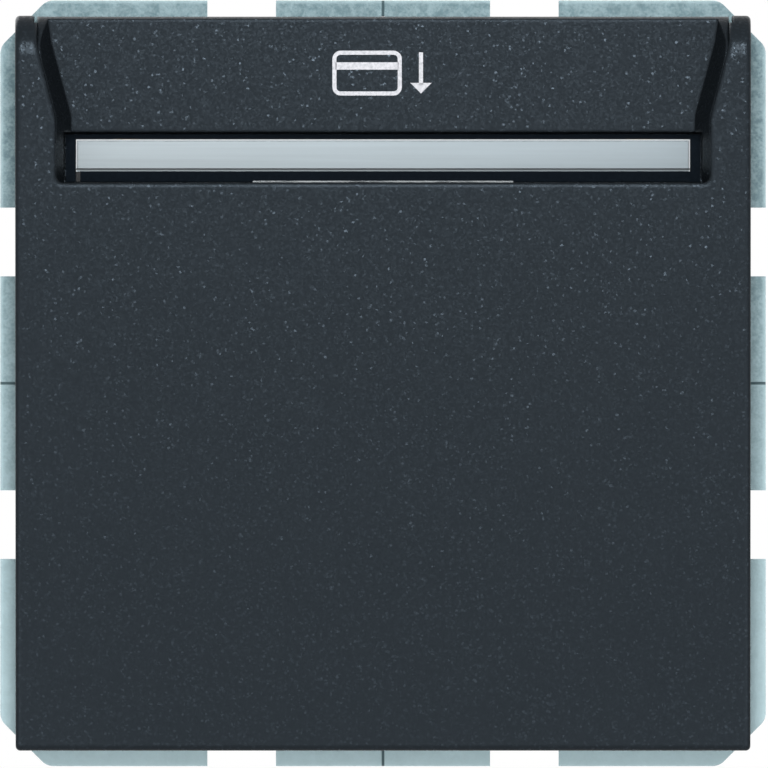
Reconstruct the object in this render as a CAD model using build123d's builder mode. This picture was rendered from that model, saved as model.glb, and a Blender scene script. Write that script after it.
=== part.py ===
from build123d import *

import os
from math import cos, pi, sin, sqrt

# Hotel key card switch: a flush wall insert on a castellated support ring, with a
# wedge-shaped centre plate that takes a card from above.
#
# All lengths are millimetres. X runs to the right, Y into the wall and Z up. The origin
# is the centre of the support ring's back face, which lies on the wall. A height counts
# from the wall towards the room, so height h is at Y = -h, and what sits behind the wall
# has a negative height. Places are written as X, Z and height, in that order, and the
# points of a section seen from the side as height and Z.

os.makedirs("parts", exist_ok=True)

# Driving sizes of the whole switch
cover_width = 63.0
cover_low = 8.4
cover_high = 12.8
ring_thick = 1.2
insert_width = 41.0
insert_height = 48.0
insert_corner = 9.0
insert_depth = 30.0
box_screw_distance = 60.0
ring_beyond_screws = 2.9
ring_width = box_screw_distance + 2 * ring_beyond_screws
card_width = 54.0

# Clearances, and how far a cut runs past the material
rest_gap = 0.3
loose_gap = 0.2
fit_gap = 0.05
overrun = 1.0

# Small shapes that many pieces share
edge_round = 0.4
screw_slot_width = 0.6
screw_slot_depth = 0.5

# Planes: the wall seen from the room, and the section seen with heights to the right
wall = Plane.XZ
side = Plane(origin=(0, 0, 0), x_dir=(0, -1, 0), z_dir=(-1, 0, 0))


def block(xs, zs, hs, mode=Mode.ADD):
    """A box between two X, two Z and two heights, each pair in either order."""
    middle = ((xs[0] + xs[1]) / 2, (zs[0] + zs[1]) / 2, (hs[0] + hs[1]) / 2)
    with Locations(middle):
        Box(abs(xs[1] - xs[0]), abs(zs[1] - zs[0]), abs(hs[1] - hs[0]), mode=mode)


def rod(radius, hs, mode=Mode.ADD):
    """A round rod square to the wall, between two heights, at the current places."""
    with Locations((0, 0, (hs[0] + hs[1]) / 2)):
        Cylinder(radius, abs(hs[1] - hs[0]), mode=mode)


def profile(points, half_width, rounds=None, mode=Mode.ADD):
    """A prism along X with an outline of (height, Z) points, some of them rounded."""
    with BuildSketch(side) as outline:
        with BuildLine():
            FilletPolyline(*points, radius=rounds or [0] * len(points), close=True)
        make_face()
    extrude(outline.sketch, amount=half_width, both=True, mode=mode)


def axle(radius, place, half_width, mode=Mode.ADD):
    """A round rod along X about a (height, Z) place."""
    with BuildSketch(side) as outline:
        with Locations(place):
            Circle(radius)
    extrude(outline.sketch, amount=half_width, both=True, mode=mode)


def smooth_wire(points, tangents):
    """A path through the points: two arcs a step, which meet smoothly half way."""
    for start, end, out, into in zip(points, points[1:], tangents, tangents[1:]):
        chord = end - start
        along = chord.dot(out + into)
        spread = 2 * (1 - out.dot(into))
        reach = (sqrt(along**2 + spread * chord.dot(chord)) - along) / spread
        middle = (start + end + (out - into) * reach) / 2
        TangentArc(start, middle, tangent=out)
        TangentArc(middle, end, tangent=(end - into * reach) - (start + out * reach))


# Support ring: sheet steel, castellated all round
ring_corner_cut = 4.0
ring_corner_round = 1.4
ring_notch_width = 5.9
ring_notch_depth = 2.4
ring_notch_place = 12.15
ring_tab_round = 0.5
ring_opening_gap = 0.5
ring_opening_width = insert_width + 2 * ring_opening_gap
ring_opening_height = insert_height + 2 * ring_opening_gap
ring_opening_corner = insert_corner + ring_opening_gap
box_screw_hole = 1.55
level_slot_length = 12.0
mark_length = 2.6
mark_width = 0.25
mark_depth = 0.2

# Rivets between the ring and the insert's front, countersunk at the back
rivet_beside_insert = 1.5
rivet_below_end = 2.0
rivet_place_x = insert_width / 2 + rivet_beside_insert
rivet_place_z = insert_height / 2 - rivet_below_end
rivet_radius = 1.0
rivet_sink_radius = 1.7
rivet_sink_depth = rivet_sink_radius - rivet_radius
rivet_head_radius = 1.7
rivet_head_height = 0.6

# Claws and their screws, left and right of the insert
claw_screw_reach = 3.1
claw_screw_place = insert_width / 2 + claw_screw_reach
claw_screw_radius = 1.4
claw_screw_head_radius = 2.2
claw_screw_head_height = 1.1
claw_screw_length = 15.5
claw_hole = claw_screw_radius + loose_gap

ring_half = ring_width / 2
facing_back = Plane(origin=(0, 0, 0), x_dir=(1, 0, 0), z_dir=(0, 0, -1))

with BuildPart(wall) as support_ring:
    with BuildSketch(wall) as ring_outline:
        Rectangle(ring_width, ring_width)
        chamfer(ring_outline.vertices(), ring_corner_cut)
        with PolarLocations(ring_half, 4):
            with Locations((0, ring_notch_place), (0, -ring_notch_place)):
                Rectangle(2 * ring_notch_depth, ring_notch_width, mode=Mode.SUBTRACT)
        notch_floor = ring_half - ring_notch_depth / 2
        rim = [v for v in ring_outline.vertices() if max(abs(v.X), abs(v.Y)) > notch_floor]
        tab_edge = ring_notch_place + ring_notch_width / 2 + ring_tab_round
        fillet([v for v in rim if min(abs(v.X), abs(v.Y)) > tab_edge], ring_corner_round)
        fillet([v for v in rim if min(abs(v.X), abs(v.Y)) < tab_edge], ring_tab_round)
        RectangleRounded(
            ring_opening_width, ring_opening_height, ring_opening_corner, mode=Mode.SUBTRACT
        )
        with GridLocations(0, box_screw_distance, 1, 2):
            Circle(box_screw_hole, mode=Mode.SUBTRACT)
        with GridLocations(box_screw_distance, 0, 2, 1):
            SlotOverall(
                level_slot_length, 2 * box_screw_hole, rotation=90, mode=Mode.SUBTRACT
            )
        with GridLocations(2 * claw_screw_place, 0, 2, 1):
            Circle(claw_hole, mode=Mode.SUBTRACT)
    extrude(amount=ring_thick)
    with Locations(facing_back):
        with GridLocations(2 * rivet_place_x, 2 * rivet_place_z, 2, 2):
            CounterSinkHole(
                rivet_radius + fit_gap, rivet_sink_radius + fit_gap, counter_sink_angle=90
            )
    with BuildSketch(wall.offset(ring_thick)):
        with PolarLocations(ring_half - mark_length / 2, 4):
            Rectangle(mark_length, mark_width)
    extrude(amount=-mark_depth, mode=Mode.SUBTRACT)
support_ring.part.label = "support_ring"
export_step(support_ring.part, "parts/support_ring.step")

# Lever that a card's edge tips back, on its pin between two ears
lever_pivot = (2.6, 8.0)
lever_pin_radius = 0.8
lever_boss_radius = 1.5
lever_boss_half = 4.6
lever_arm_half = 3.4
lever_arm_front = 3.4
lever_arm_back = 2.2
lever_arm_end = -9.4
lever_spring_half = 1.8
lever_spring_room = 2.0
lever_pad_radius = 0.6
lever_pad_half = 1.2
nose_gap = 0.35
nose_root_top = -2.4
nose_root_height = 6.3
nose_tip_top = -6.0
nose_tip_bottom = -7.2
nose_low_height = 6.0
window_side_gap = 0.6
window_high_gap = 1.6
window_low_gap = 0.8
ear_near = lever_boss_half + rest_gap
ear_thick = 1.2
ear_radius = 1.6


# Insert front: a flange in front of the ring, a body through it, and a well for the lever
flange_reach = 5.0
flange_rise = 2.4
flange_width = insert_width + 2 * flange_reach
flange_height = insert_height + 2 * flange_rise
flange_corner = 4.0
flange_thick = 1.0
flange_front = ring_thick + flange_thick
claw_lug_radius = 2.6
front_back = -4.2
front_wall = 1.4
front_plate = 1.6
plate_back = flange_front - front_plate

# Well in the front, in which the card lever swings
well_side_gap = 0.9
well_high_gap = 2.0
well_low_gap = 3.4
well_floor = -1.0
lever_pin_half = ear_near + ear_thick + loose_gap
well_width = 2 * (lever_pin_half + well_side_gap)
well_top = lever_pivot[1] + ear_radius + well_high_gap
well_bottom = lever_arm_end - well_low_gap
well_wall = 1.2
well_back = well_floor - well_wall

# Plunger and its guide
plunger_radius = 1.5
plunger_tip = lever_arm_back - lever_pad_radius - fit_gap
plunger_collar_radius = 2.6
plunger_collar_thick = 1.0
plunger_play = 0.1
plunger_collar_front = well_back - plunger_play
plunger_foot = -7.6
guide_radius = 4.0
guide_back = -5.0

# Pegs of the centre plate, with the clips that hold them in their sockets
peg_inset = 4.0
peg_place_x = insert_width / 2 - peg_inset
peg_place_z = 7.0
peg_width = 1.6
peg_height = 3.0
peg_foot = -3.0
clip_thick = 0.3
clip_foot = -3.6
clip_mouth = 1.8
clip_height = 3.4
socket_width = 2.6
socket_height = 3.8
socket_wall = 1.0

# Window for the light guide's feet, and the board with the two lamps behind it
lamp_place_x = 6.0
lamp_place_z = 19.7
lamp_window_side = 2.0
lamp_window_rise = 1.8
lamp_window_half = lamp_place_x + lamp_window_side
lamp_window_bottom = lamp_place_z - lamp_window_rise
lamp_window_top = lamp_place_z + lamp_window_rise

# Posts that the housing is screwed to
post_inset_x = 4.3
post_inset_z = 6.5
post_spacing_x = insert_width - 2 * post_inset_x
post_spacing_z = insert_height - 2 * post_inset_z
post_radius = 2.2
housing_screw_radius = 0.9

with BuildPart(wall) as insert_front:
    with BuildSketch(wall.offset(ring_thick)):
        RectangleRounded(flange_width, flange_height, flange_corner)
        with GridLocations(2 * claw_screw_place, 0, 2, 1):
            Circle(claw_lug_radius)
    extrude(amount=flange_thick)
    with BuildSketch(wall.offset(front_back)):
        RectangleRounded(insert_width, insert_height, insert_corner)
    extrude(amount=ring_thick - front_back)
    with BuildSketch(wall.offset(front_back)):
        RectangleRounded(
            insert_width - 2 * front_wall,
            insert_height - 2 * front_wall,
            insert_corner - front_wall,
        )
    extrude(amount=plate_back - front_back, mode=Mode.SUBTRACT)
    block(
        (-well_width / 2 - well_wall, well_width / 2 + well_wall),
        (well_bottom - well_wall, well_top + well_wall),
        (well_back, plate_back),
    )
    rod(guide_radius, (guide_back, well_back))
    with GridLocations(2 * peg_place_x, 2 * peg_place_z, 2, 2):
        block(
            (-socket_width / 2 - socket_wall, socket_width / 2 + socket_wall),
            (-socket_height / 2 - socket_wall, socket_height / 2 + socket_wall),
            (front_back, plate_back),
        )
    with GridLocations(post_spacing_x, post_spacing_z, 2, 2):
        rod(post_radius, (front_back, plate_back))
        rod(housing_screw_radius + fit_gap, (front_back, plate_back), mode=Mode.SUBTRACT)
    block(
        (-well_width / 2, well_width / 2),
        (well_bottom, well_top),
        (well_floor, flange_front + overrun),
        mode=Mode.SUBTRACT,
    )
    rod(plunger_radius + fit_gap, (well_back - overrun, flange_front), mode=Mode.SUBTRACT)
    rod(
        plunger_collar_radius + loose_gap,
        (guide_back - overrun, well_back),
        mode=Mode.SUBTRACT,
    )
    with GridLocations(2 * peg_place_x, 2 * peg_place_z, 2, 2):
        block(
            (-socket_width / 2, socket_width / 2),
            (-socket_height / 2, socket_height / 2),
            (clip_foot, flange_front + overrun),
            mode=Mode.SUBTRACT,
        )
    block(
        (-lamp_window_half, lamp_window_half),
        (lamp_window_bottom, lamp_window_top),
        (plate_back - overrun, flange_front + overrun),
        mode=Mode.SUBTRACT,
    )
    with GridLocations(2 * claw_screw_place, 0, 2, 1):
        rod(claw_hole, (0, flange_front + overrun), mode=Mode.SUBTRACT)
    with GridLocations(2 * rivet_place_x, 2 * rivet_place_z, 2, 2):
        rod(rivet_radius + fit_gap, (0, flange_front + overrun), mode=Mode.SUBTRACT)
insert_front.part.label = "insert_front"
export_step(insert_front.part, "parts/insert_front.step")

# Rivets: domed in front, flared flush into the ring's countersinks behind
with BuildPart(wall) as ring_rivets:
    with GridLocations(2 * rivet_place_x, 2 * rivet_place_z, 2, 2):
        rod(rivet_radius, (0, flange_front))
        with Locations((0, 0, rivet_sink_depth / 2)):
            Cone(rivet_sink_radius, rivet_radius, rivet_sink_depth)
        rod(rivet_head_radius, (flange_front, flange_front + rivet_head_height))
    domes = ring_rivets.edges().filter_by(GeomType.CIRCLE).group_by(Axis.Y)[0]
    fillet(domes, rivet_head_height / 2)
ring_rivets.part.label = "ring_rivets"
export_step(ring_rivets.part, "parts/ring_rivets.step")

# Sheet-metal clips in the sockets, open to the front, each round one peg
with BuildPart(wall) as peg_clips:
    with GridLocations(2 * peg_place_x, 2 * peg_place_z, 2, 2):
        clip_half = peg_width / 2 + fit_gap
        block(
            (-clip_half - clip_thick, clip_half + clip_thick),
            (-clip_height / 2, clip_height / 2),
            (clip_foot, clip_mouth),
        )
        block(
            (-clip_half, clip_half),
            (-clip_height / 2, clip_height / 2),
            (clip_foot + clip_thick, clip_mouth + overrun),
            mode=Mode.SUBTRACT,
        )
peg_clips.part.label = "peg_clips"
export_step(peg_clips.part, "parts/peg_clips.step")

# Housing behind the wall
housing_wall = 1.2
housing_back = -insert_depth
housing_inside = housing_back + housing_wall
housing_half = insert_height / 2
inside_half = insert_width / 2 - housing_wall
screw_head_radius = 1.9
screw_head_height = 1.3
screw_tip = -2.5
board_place = 11.0
board_front = housing_back + board_place
board_thick = 1.6
board_back = board_front - board_thick
board_side_gap = 0.8
board_width = insert_width - 2 * (housing_wall + board_side_gap)
board_end_gap = 9.0
board_height = insert_height - 2 * board_end_gap
ledge_width = 1.7
ledge_height = 8.0

# Terminals: two at the top and two at the bottom, each screw square to its outer face
terminal_place_x = 8.0
terminal_drop = 3.0
terminal_height = board_back - terminal_drop
terminal_screw_radius = 1.25
terminal_head_radius = 2.2
terminal_head_thick = 1.0
terminal_head_sunk = 0.1
terminal_access_radius = 2.4
terminal_bar_drop = 5.7
terminal_bar_inner = housing_half - terminal_bar_drop
terminal_bar_thick = 1.0
terminal_bar_width = 3.2
terminal_foot_drop = 10.0
terminal_bar_foot = housing_half - terminal_foot_drop
cage_drop = 3.2
cage_height = 6.4
cage_outer = housing_half - cage_drop
cage_inner = cage_outer - cage_height
cage_wall = 0.8
cage_width = 6.0
cage_before = 2.6
cage_behind = 2.9
cage_front = terminal_height + cage_before
cage_back = terminal_height - cage_behind
wire_hole_radius = 1.5
wire_place = (cage_inner + cage_wall + terminal_bar_inner) / 2

with BuildPart(wall) as insert_housing:
    with BuildSketch(wall.offset(housing_back)):
        RectangleRounded(insert_width, insert_height, insert_corner)
    extrude(amount=front_back - housing_back)
    with BuildSketch(wall.offset(housing_inside)):
        RectangleRounded(
            insert_width - 2 * housing_wall,
            insert_height - 2 * housing_wall,
            insert_corner - housing_wall,
        )
    extrude(amount=front_back - housing_inside, mode=Mode.SUBTRACT)
    with GridLocations(post_spacing_x, post_spacing_z, 2, 2):
        rod(post_radius, (housing_inside, front_back))
        rod(housing_screw_radius + loose_gap, (housing_back, front_back), mode=Mode.SUBTRACT)
        rod(
            screw_head_radius + loose_gap,
            (housing_back, housing_back + screw_head_height + loose_gap),
            mode=Mode.SUBTRACT,
        )
    for sign in (-1, 1):
        block(
            (sign * (inside_half - ledge_width), sign * inside_half),
            (-ledge_height / 2, ledge_height / 2),
            (housing_inside, board_back),
        )
    with GridLocations(2 * terminal_place_x, 2 * wire_place, 2, 2):
        rod(wire_hole_radius, (housing_back - overrun, housing_inside), mode=Mode.SUBTRACT)
    with BuildSketch(Plane.XY.offset(-housing_half - overrun)):
        with Locations((0, -terminal_height)):
            with GridLocations(2 * terminal_place_x, 0, 2, 1):
                Circle(terminal_access_radius)
    extrude(amount=insert_height + 2 * overrun, mode=Mode.SUBTRACT)
insert_housing.part.label = "insert_housing"
export_step(insert_housing.part, "parts/insert_housing.step")

screw_head_floor = housing_back + screw_head_height + loose_gap
with BuildPart(wall) as housing_screws:
    with GridLocations(post_spacing_x, post_spacing_z, 2, 2):
        rod(screw_head_radius, (screw_head_floor - screw_head_height, screw_head_floor))
        rod(housing_screw_radius, (screw_head_floor, screw_tip))
        block(
            (-screw_slot_width / 2, screw_slot_width / 2),
            (-screw_head_radius, screw_head_radius),
            (
                screw_head_floor - screw_head_height,
                screw_head_floor - screw_head_height + screw_slot_depth,
            ),
            mode=Mode.SUBTRACT,
        )
housing_screws.part.label = "housing_screws"
export_step(housing_screws.part, "parts/housing_screws.step")

# Main board, with holes for the switch's blades and the pins to the lamp board
blade_width = 0.8
blade_places = (-10.0, -2.0, 6.0)
blade_reach = 1.0
blade_end = board_back - blade_reach
pin_width = 0.6
pin_place_x = 2.0
pin_inset = 1.2
pin_place_z = board_height / 2 - pin_inset
pin_reach = 0.8
pin_end = board_back - pin_reach
board_corner = 1.5
hole_radius = 0.65

with BuildPart(wall) as circuit_board:
    with BuildSketch(wall.offset(board_back)):
        RectangleRounded(board_width, board_height, board_corner)
        with Locations(*[(0, z) for z in blade_places]):
            Circle(hole_radius, mode=Mode.SUBTRACT)
        with Locations((-pin_place_x, pin_place_z), (pin_place_x, pin_place_z)):
            Circle(hole_radius, mode=Mode.SUBTRACT)
    extrude(amount=board_thick)
circuit_board.part.label = "circuit_board"
export_step(circuit_board.part, "parts/circuit_board.step")

# Lamp board behind the window, its two lamps, and the pins that feed it
lamp_board_thick = 0.8
lamp_board_back = plate_back - lamp_board_thick
lamp_board_side = 2.5
lamp_board_rise = 2.3
lamp_board_drop = 0.8
lamp_board_width = 2 * (lamp_place_x + lamp_board_side)
lamp_board_top = lamp_place_z + lamp_board_rise
lamp_board_bottom = pin_place_z - lamp_board_drop
lamp_length = 2.8
lamp_height = 1.9
lamp_thick = 0.7
lamp_lens_radius = 0.75
lamp_lens_thick = 0.3

with BuildPart(wall) as led_board:
    block(
        (-lamp_board_width / 2, lamp_board_width / 2),
        (lamp_board_bottom, lamp_board_top),
        (lamp_board_back, plate_back),
    )
    with Locations((-pin_place_x, pin_place_z), (pin_place_x, pin_place_z)):
        rod(pin_width, (lamp_board_back, plate_back), mode=Mode.SUBTRACT)
led_board.part.label = "led_board"
export_step(led_board.part, "parts/led_board.step")

lamp_top = plate_back + lamp_thick
with BuildPart(wall) as orientation_leds:
    with Locations((-lamp_place_x, lamp_place_z), (lamp_place_x, lamp_place_z)):
        block(
            (-lamp_length / 2, lamp_length / 2),
            (-lamp_height / 2, lamp_height / 2),
            (plate_back, lamp_top),
        )
        rod(lamp_lens_radius, (lamp_top, lamp_top + lamp_lens_thick))
orientation_leds.part.label = "orientation_leds"
export_step(orientation_leds.part, "parts/orientation_leds.step")

with BuildPart(wall) as led_pins:
    with Locations((-pin_place_x, pin_place_z), (pin_place_x, pin_place_z)):
        block(
            (-pin_width / 2, pin_width / 2),
            (-pin_width / 2, pin_width / 2),
            (pin_end, plate_back),
        )
led_pins.part.label = "led_pins"
export_step(led_pins.part, "parts/led_pins.step")

# Microswitch behind the plunger
switch_width = 6.4
switch_top = 7.9
switch_bottom = -11.9
button_travel = 1.2
switch_front = plunger_foot - button_travel - fit_gap
switch_back = board_front
switch_pin_radius = 1.1
switch_pin_behind = 3.0
switch_pin_before = 3.4
switch_pin_low = -9.5
switch_pin_high = 5.4
switch_pin_places = (
    (switch_back + switch_pin_behind, switch_pin_low),
    (switch_front - switch_pin_before, switch_pin_high),
)
button_width = 1.6
button_height = 2.8
button_top = plunger_foot - fit_gap
button_foot = -11.0
button_room = button_foot - button_travel - loose_gap

with BuildPart(wall) as microswitch_case:
    block(
        (-switch_width / 2, switch_width / 2),
        (switch_bottom, switch_top),
        (switch_back, switch_front),
    )
    fillet(microswitch_case.edges().filter_by(Axis.Y), edge_round)
    block(
        (-button_width / 2 - fit_gap, button_width / 2 + fit_gap),
        (-button_height / 2 - fit_gap, button_height / 2 + fit_gap),
        (button_room, switch_front + overrun),
        mode=Mode.SUBTRACT,
    )
    for place in switch_pin_places:
        axle(switch_pin_radius, place, switch_width, mode=Mode.SUBTRACT)
microswitch_case.part.label = "microswitch_case"
export_step(microswitch_case.part, "parts/microswitch_case.step")

with BuildPart(wall) as microswitch_button:
    block(
        (-button_width / 2, button_width / 2),
        (-button_height / 2, button_height / 2),
        (button_foot, button_top),
    )
    fillet(microswitch_button.faces().sort_by(Axis.Y)[0].edges(), edge_round)
microswitch_button.part.label = "microswitch_button"
export_step(microswitch_button.part, "parts/microswitch_button.step")

with BuildPart(wall) as microswitch_terminals:
    with Locations(*[(0, z) for z in blade_places]):
        block(
            (-blade_width / 2, blade_width / 2),
            (-blade_width / 2, blade_width / 2),
            (blade_end, switch_back),
        )
microswitch_terminals.part.label = "microswitch_terminals"
export_step(microswitch_terminals.part, "parts/microswitch_terminals.step")

# Plunger that carries the lever's push to the switch, and its spring
with BuildPart(wall) as plunger:
    rod(plunger_radius, (plunger_foot, plunger_tip))
    rod(
        plunger_collar_radius,
        (plunger_collar_front - plunger_collar_thick, plunger_collar_front),
    )
    tip_edge = plunger.edges().filter_by(GeomType.CIRCLE).sort_by(Axis.Y)[0]
    chamfer(tip_edge, loose_gap)
plunger.part.label = "plunger"
export_step(plunger.part, "parts/plunger.step")

plunger_wire = 0.2
plunger_coil_radius = 2.2
plunger_coil_turns = 4
coil_front = plunger_collar_front - plunger_collar_thick - plunger_wire - fit_gap
coil_back = switch_front + plunger_wire + fit_gap
steps_a_turn = 4
tangent_share = 0.01


def coil_points(turn_start, turn_end, point_at):
    """Places along a coil, a quarter turn apart, and the way the wire runs at each."""
    count = round(abs(turn_end - turn_start) * steps_a_turn)
    small = (turn_end - turn_start) / count * tangent_share
    turns = [turn_start + (turn_end - turn_start) * i / count for i in range(count + 1)]
    places = [point_at(turn) for turn in turns]
    ways = [(point_at(turn + small) - point_at(turn - small)).normalized() for turn in turns]
    return places, ways


def plunger_coil(turn):
    """Where the plunger's spring is after so many turns."""
    angle = 2 * pi * turn
    share = turn / plunger_coil_turns
    height = coil_front + (coil_back - coil_front) * share
    return Vector(plunger_coil_radius * cos(angle), -height, plunger_coil_radius * sin(angle))


with BuildPart() as plunger_spring:
    places, ways = coil_points(0, plunger_coil_turns, plunger_coil)
    with BuildLine() as coil_path:
        smooth_wire(places, ways)
    with BuildSketch(Plane(origin=places[0], z_dir=ways[0])):
        Circle(plunger_wire)
    sweep(path=coil_path.line)
plunger_spring.part.label = "plunger_spring"
export_step(plunger_spring.part, "parts/plunger_spring.step")

# Relay on the left of the board: base, coil, yoke, armature, contacts and cover
relay_side_gap = 2.1
relay_switch_gap = 1.4
relay_near = switch_width / 2 + relay_switch_gap
relay_width = inside_half - relay_side_gap - relay_near
relay_place_x = -relay_near - relay_width / 2
relay_wall = 0.8
relay_end_gap = 1.7
relay_top_z = board_height / 2 - relay_end_gap
relay_head_room = 1.4
relay_base_thick = 1.4
relay_base_top = board_front + relay_base_thick
relay_inside = relay_width / 2 - relay_wall
coil_side_gap = 1.2
coil_flange = 2 * (relay_inside - coil_side_gap)
coil_flange_thick = 0.8
coil_flange_rim = 0.4
coil_radius = coil_flange / 2 - coil_flange_rim
coil_axis = relay_base_top + fit_gap + coil_flange / 2
coil_end_gap = 2.3
coil_bottom = coil_end_gap - relay_top_z
contact_end_gap = 2.7
contact_pitch = 2.6
contact_last = relay_top_z - contact_end_gap
contact_places = (contact_last - contact_pitch, contact_last)
yoke_contact_gap = 3.6
yoke_end = contact_places[0] - yoke_contact_gap
coil_yoke_gap = 1.4
coil_top = yoke_end - coil_yoke_gap
core_radius = 1.6
yoke_thick = 1.2
yoke_inset = 0.2
yoke_width = coil_flange - 2 * yoke_inset
yoke_gap = 0.55
yoke_front = coil_axis + coil_flange / 2 + yoke_gap + yoke_thick
relay_cap = yoke_front + relay_head_room
armature_thick = 1.2
armature_shy = 0.55
armature_reach = coil_radius - armature_shy
armature_bottom = coil_axis - armature_reach
armature_gap = 0.5
contact_thick = 0.4
contact_inset = 1.3
contact_width = coil_flange - 2 * contact_inset
contact_drop = 1.8
contact_top = yoke_front - contact_drop
contact_button = 1.1
relay_plane = Plane(origin=(relay_place_x, 0, 0), x_dir=(1, 0, 0), z_dir=(0, -1, 0))

with BuildPart(relay_plane) as relay_base:
    block(
        (fit_gap - relay_inside, relay_inside - fit_gap),
        (relay_wall + fit_gap - relay_top_z, relay_top_z - relay_wall - fit_gap),
        (board_front, relay_base_top),
    )
relay_base.part.label = "relay_base"
export_step(relay_base.part, "parts/relay_base.step")

with BuildPart(Plane(origin=(relay_place_x, -coil_axis, 0))) as relay_coil:
    with Locations((0, 0, (coil_bottom + coil_top) / 2)):
        Cylinder(coil_radius, coil_top - coil_bottom)
    for flange_middle in (coil_bottom + coil_flange_thick / 2, coil_top - coil_flange_thick / 2):
        with Locations((0, 0, flange_middle)):
            Box(coil_flange, coil_flange, coil_flange_thick)
    core_end = yoke_end - armature_gap
    with Locations((0, 0, (coil_bottom + core_end) / 2)):
        Cylinder(core_radius, core_end - coil_bottom)
relay_coil.part.label = "relay_coil"
export_step(relay_coil.part, "parts/relay_coil.step")

with BuildPart(relay_plane) as relay_yoke:
    block(
        (-yoke_width / 2, yoke_width / 2),
        (coil_bottom - yoke_thick, yoke_end),
        (yoke_front - yoke_thick, yoke_front),
    )
    block(
        (-yoke_width / 2, yoke_width / 2),
        (coil_bottom - yoke_thick, coil_bottom),
        (relay_base_top, yoke_front),
    )
relay_yoke.part.label = "relay_yoke"
export_step(relay_yoke.part, "parts/relay_yoke.step")

with BuildPart(relay_plane) as relay_armature:
    block(
        (-yoke_width / 2, yoke_width / 2),
        (yoke_end + loose_gap, yoke_end + loose_gap + armature_thick),
        (armature_bottom, yoke_front),
    )
relay_armature.part.label = "relay_armature"
export_step(relay_armature.part, "parts/relay_armature.step")

with BuildPart(relay_plane) as relay_contacts:
    for z in contact_places:
        block(
            (-contact_width / 2, contact_width / 2),
            (z, z + contact_thick),
            (relay_base_top, contact_top),
        )
    contact_middle = contact_top - contact_button - contact_thick
    with BuildSketch(Plane.XY.offset(contact_places[0] - contact_thick)):
        with Locations((relay_place_x, -contact_middle)):
            Circle(contact_button)
    extrude(amount=2 * contact_thick)
    with BuildSketch(Plane.XY.offset(contact_places[1] - contact_thick)):
        with Locations((relay_place_x, -contact_middle)):
            Circle(contact_button)
    extrude(amount=2 * contact_thick)
relay_contacts.part.label = "relay_contacts"
export_step(relay_contacts.part, "parts/relay_contacts.step")

with BuildPart(relay_plane) as relay_cover:
    block(
        (-relay_width / 2, relay_width / 2),
        (-relay_top_z, relay_top_z),
        (board_front, relay_cap),
    )
    fillet(relay_cover.edges().filter_by(Axis.Y), edge_round)
    block(
        (-relay_inside, relay_inside),
        (relay_wall - relay_top_z, relay_top_z - relay_wall),
        (board_front - overrun, relay_cap - relay_wall),
        mode=Mode.SUBTRACT,
    )
relay_cover.part.label = "relay_cover"
export_step(relay_cover.part, "parts/relay_cover.step")

# Other parts on the front of the board
fuse_radius = 1.7
fuse_cap_radius = 1.9
fuse_cap_length = 3.0
fuse_side_gap = 2.0
fuse_place_x = board_width / 2 - fuse_side_gap - fuse_cap_radius
fuse_axis = board_front + fuse_cap_radius
film_switch_gap = 2.4
film_fuse_gap = 1.1
film_place = (switch_width / 2 + film_switch_gap, fuse_place_x - fuse_cap_radius - film_fuse_gap)
film_end_gap = 6.0
film_half_length = board_height / 2 - film_end_gap
film_top = -8.5
film_corner = 0.8
varistor_radius = 3.8
varistor_beside_fuse = 1.1
varistor_end_gap = 4.0
varistor_place = (fuse_place_x - varistor_beside_fuse, board_height / 2 - varistor_end_gap)
varistor_fuse_gap = 0.2
fuse_half_length = varistor_place[1] - varistor_radius - varistor_fuse_gap
varistor_half_thick = 1.2
varistor_axis = board_front + varistor_radius

with BuildPart(wall) as film_capacitor:
    block(film_place, (-film_half_length, film_half_length), (board_front, film_top))
    fillet(film_capacitor.faces().sort_by(Axis.Y)[0].edges(), film_corner)
film_capacitor.part.label = "film_capacitor"
export_step(film_capacitor.part, "parts/film_capacitor.step")

with BuildPart(Plane(origin=(fuse_place_x, -fuse_axis, 0))) as fuse:
    Cylinder(fuse_radius, 2 * fuse_half_length)
    cap_middle = fuse_half_length - fuse_cap_length / 2
    with Locations((0, 0, cap_middle), (0, 0, -cap_middle)):
        Cylinder(fuse_cap_radius, fuse_cap_length)
fuse.part.label = "fuse"
export_step(fuse.part, "parts/fuse.step")

with BuildPart() as varistor:
    with BuildSketch(Plane.YZ.offset(varistor_place[0] - varistor_half_thick)):
        with Locations((-varistor_axis, varistor_place[1])):
            Circle(varistor_radius)
    extrude(amount=2 * varistor_half_thick)
    fillet(varistor.edges().filter_by(GeomType.CIRCLE), varistor_half_thick / 2)
varistor.part.label = "varistor"
export_step(varistor.part, "parts/varistor.step")

# Parts on the back of the board
can_room = 0.4
can_radius = (board_back - housing_inside) / 2 - can_room
can_place_z = -3.0
can_end = -3.0
can_ledge_gap = 2.6
can_length = inside_half - ledge_width - can_ledge_gap + can_end
can_groove = 0.3
can_groove_place = 2.0
bridge_places = ((2.0, 10.0), (-5.0, 1.0))
bridge_thick = 2.8
chip_middle = (-8.5, 7.5)
chip_length = 5.0
chip_width = 4.0
chip_thick = 1.5
chip_lift = 0.2
chip_leg_width = 0.4
chip_leg_pitch = 1.27
chip_leg_reach = 1.0
chip_leg_count = 4
resistor_radius = 1.1
resistor_length = 6.0
resistor_place_x = 6.0
resistor_first = 4.0
resistor_pitch = 3.0
resistor_count = 3

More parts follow.
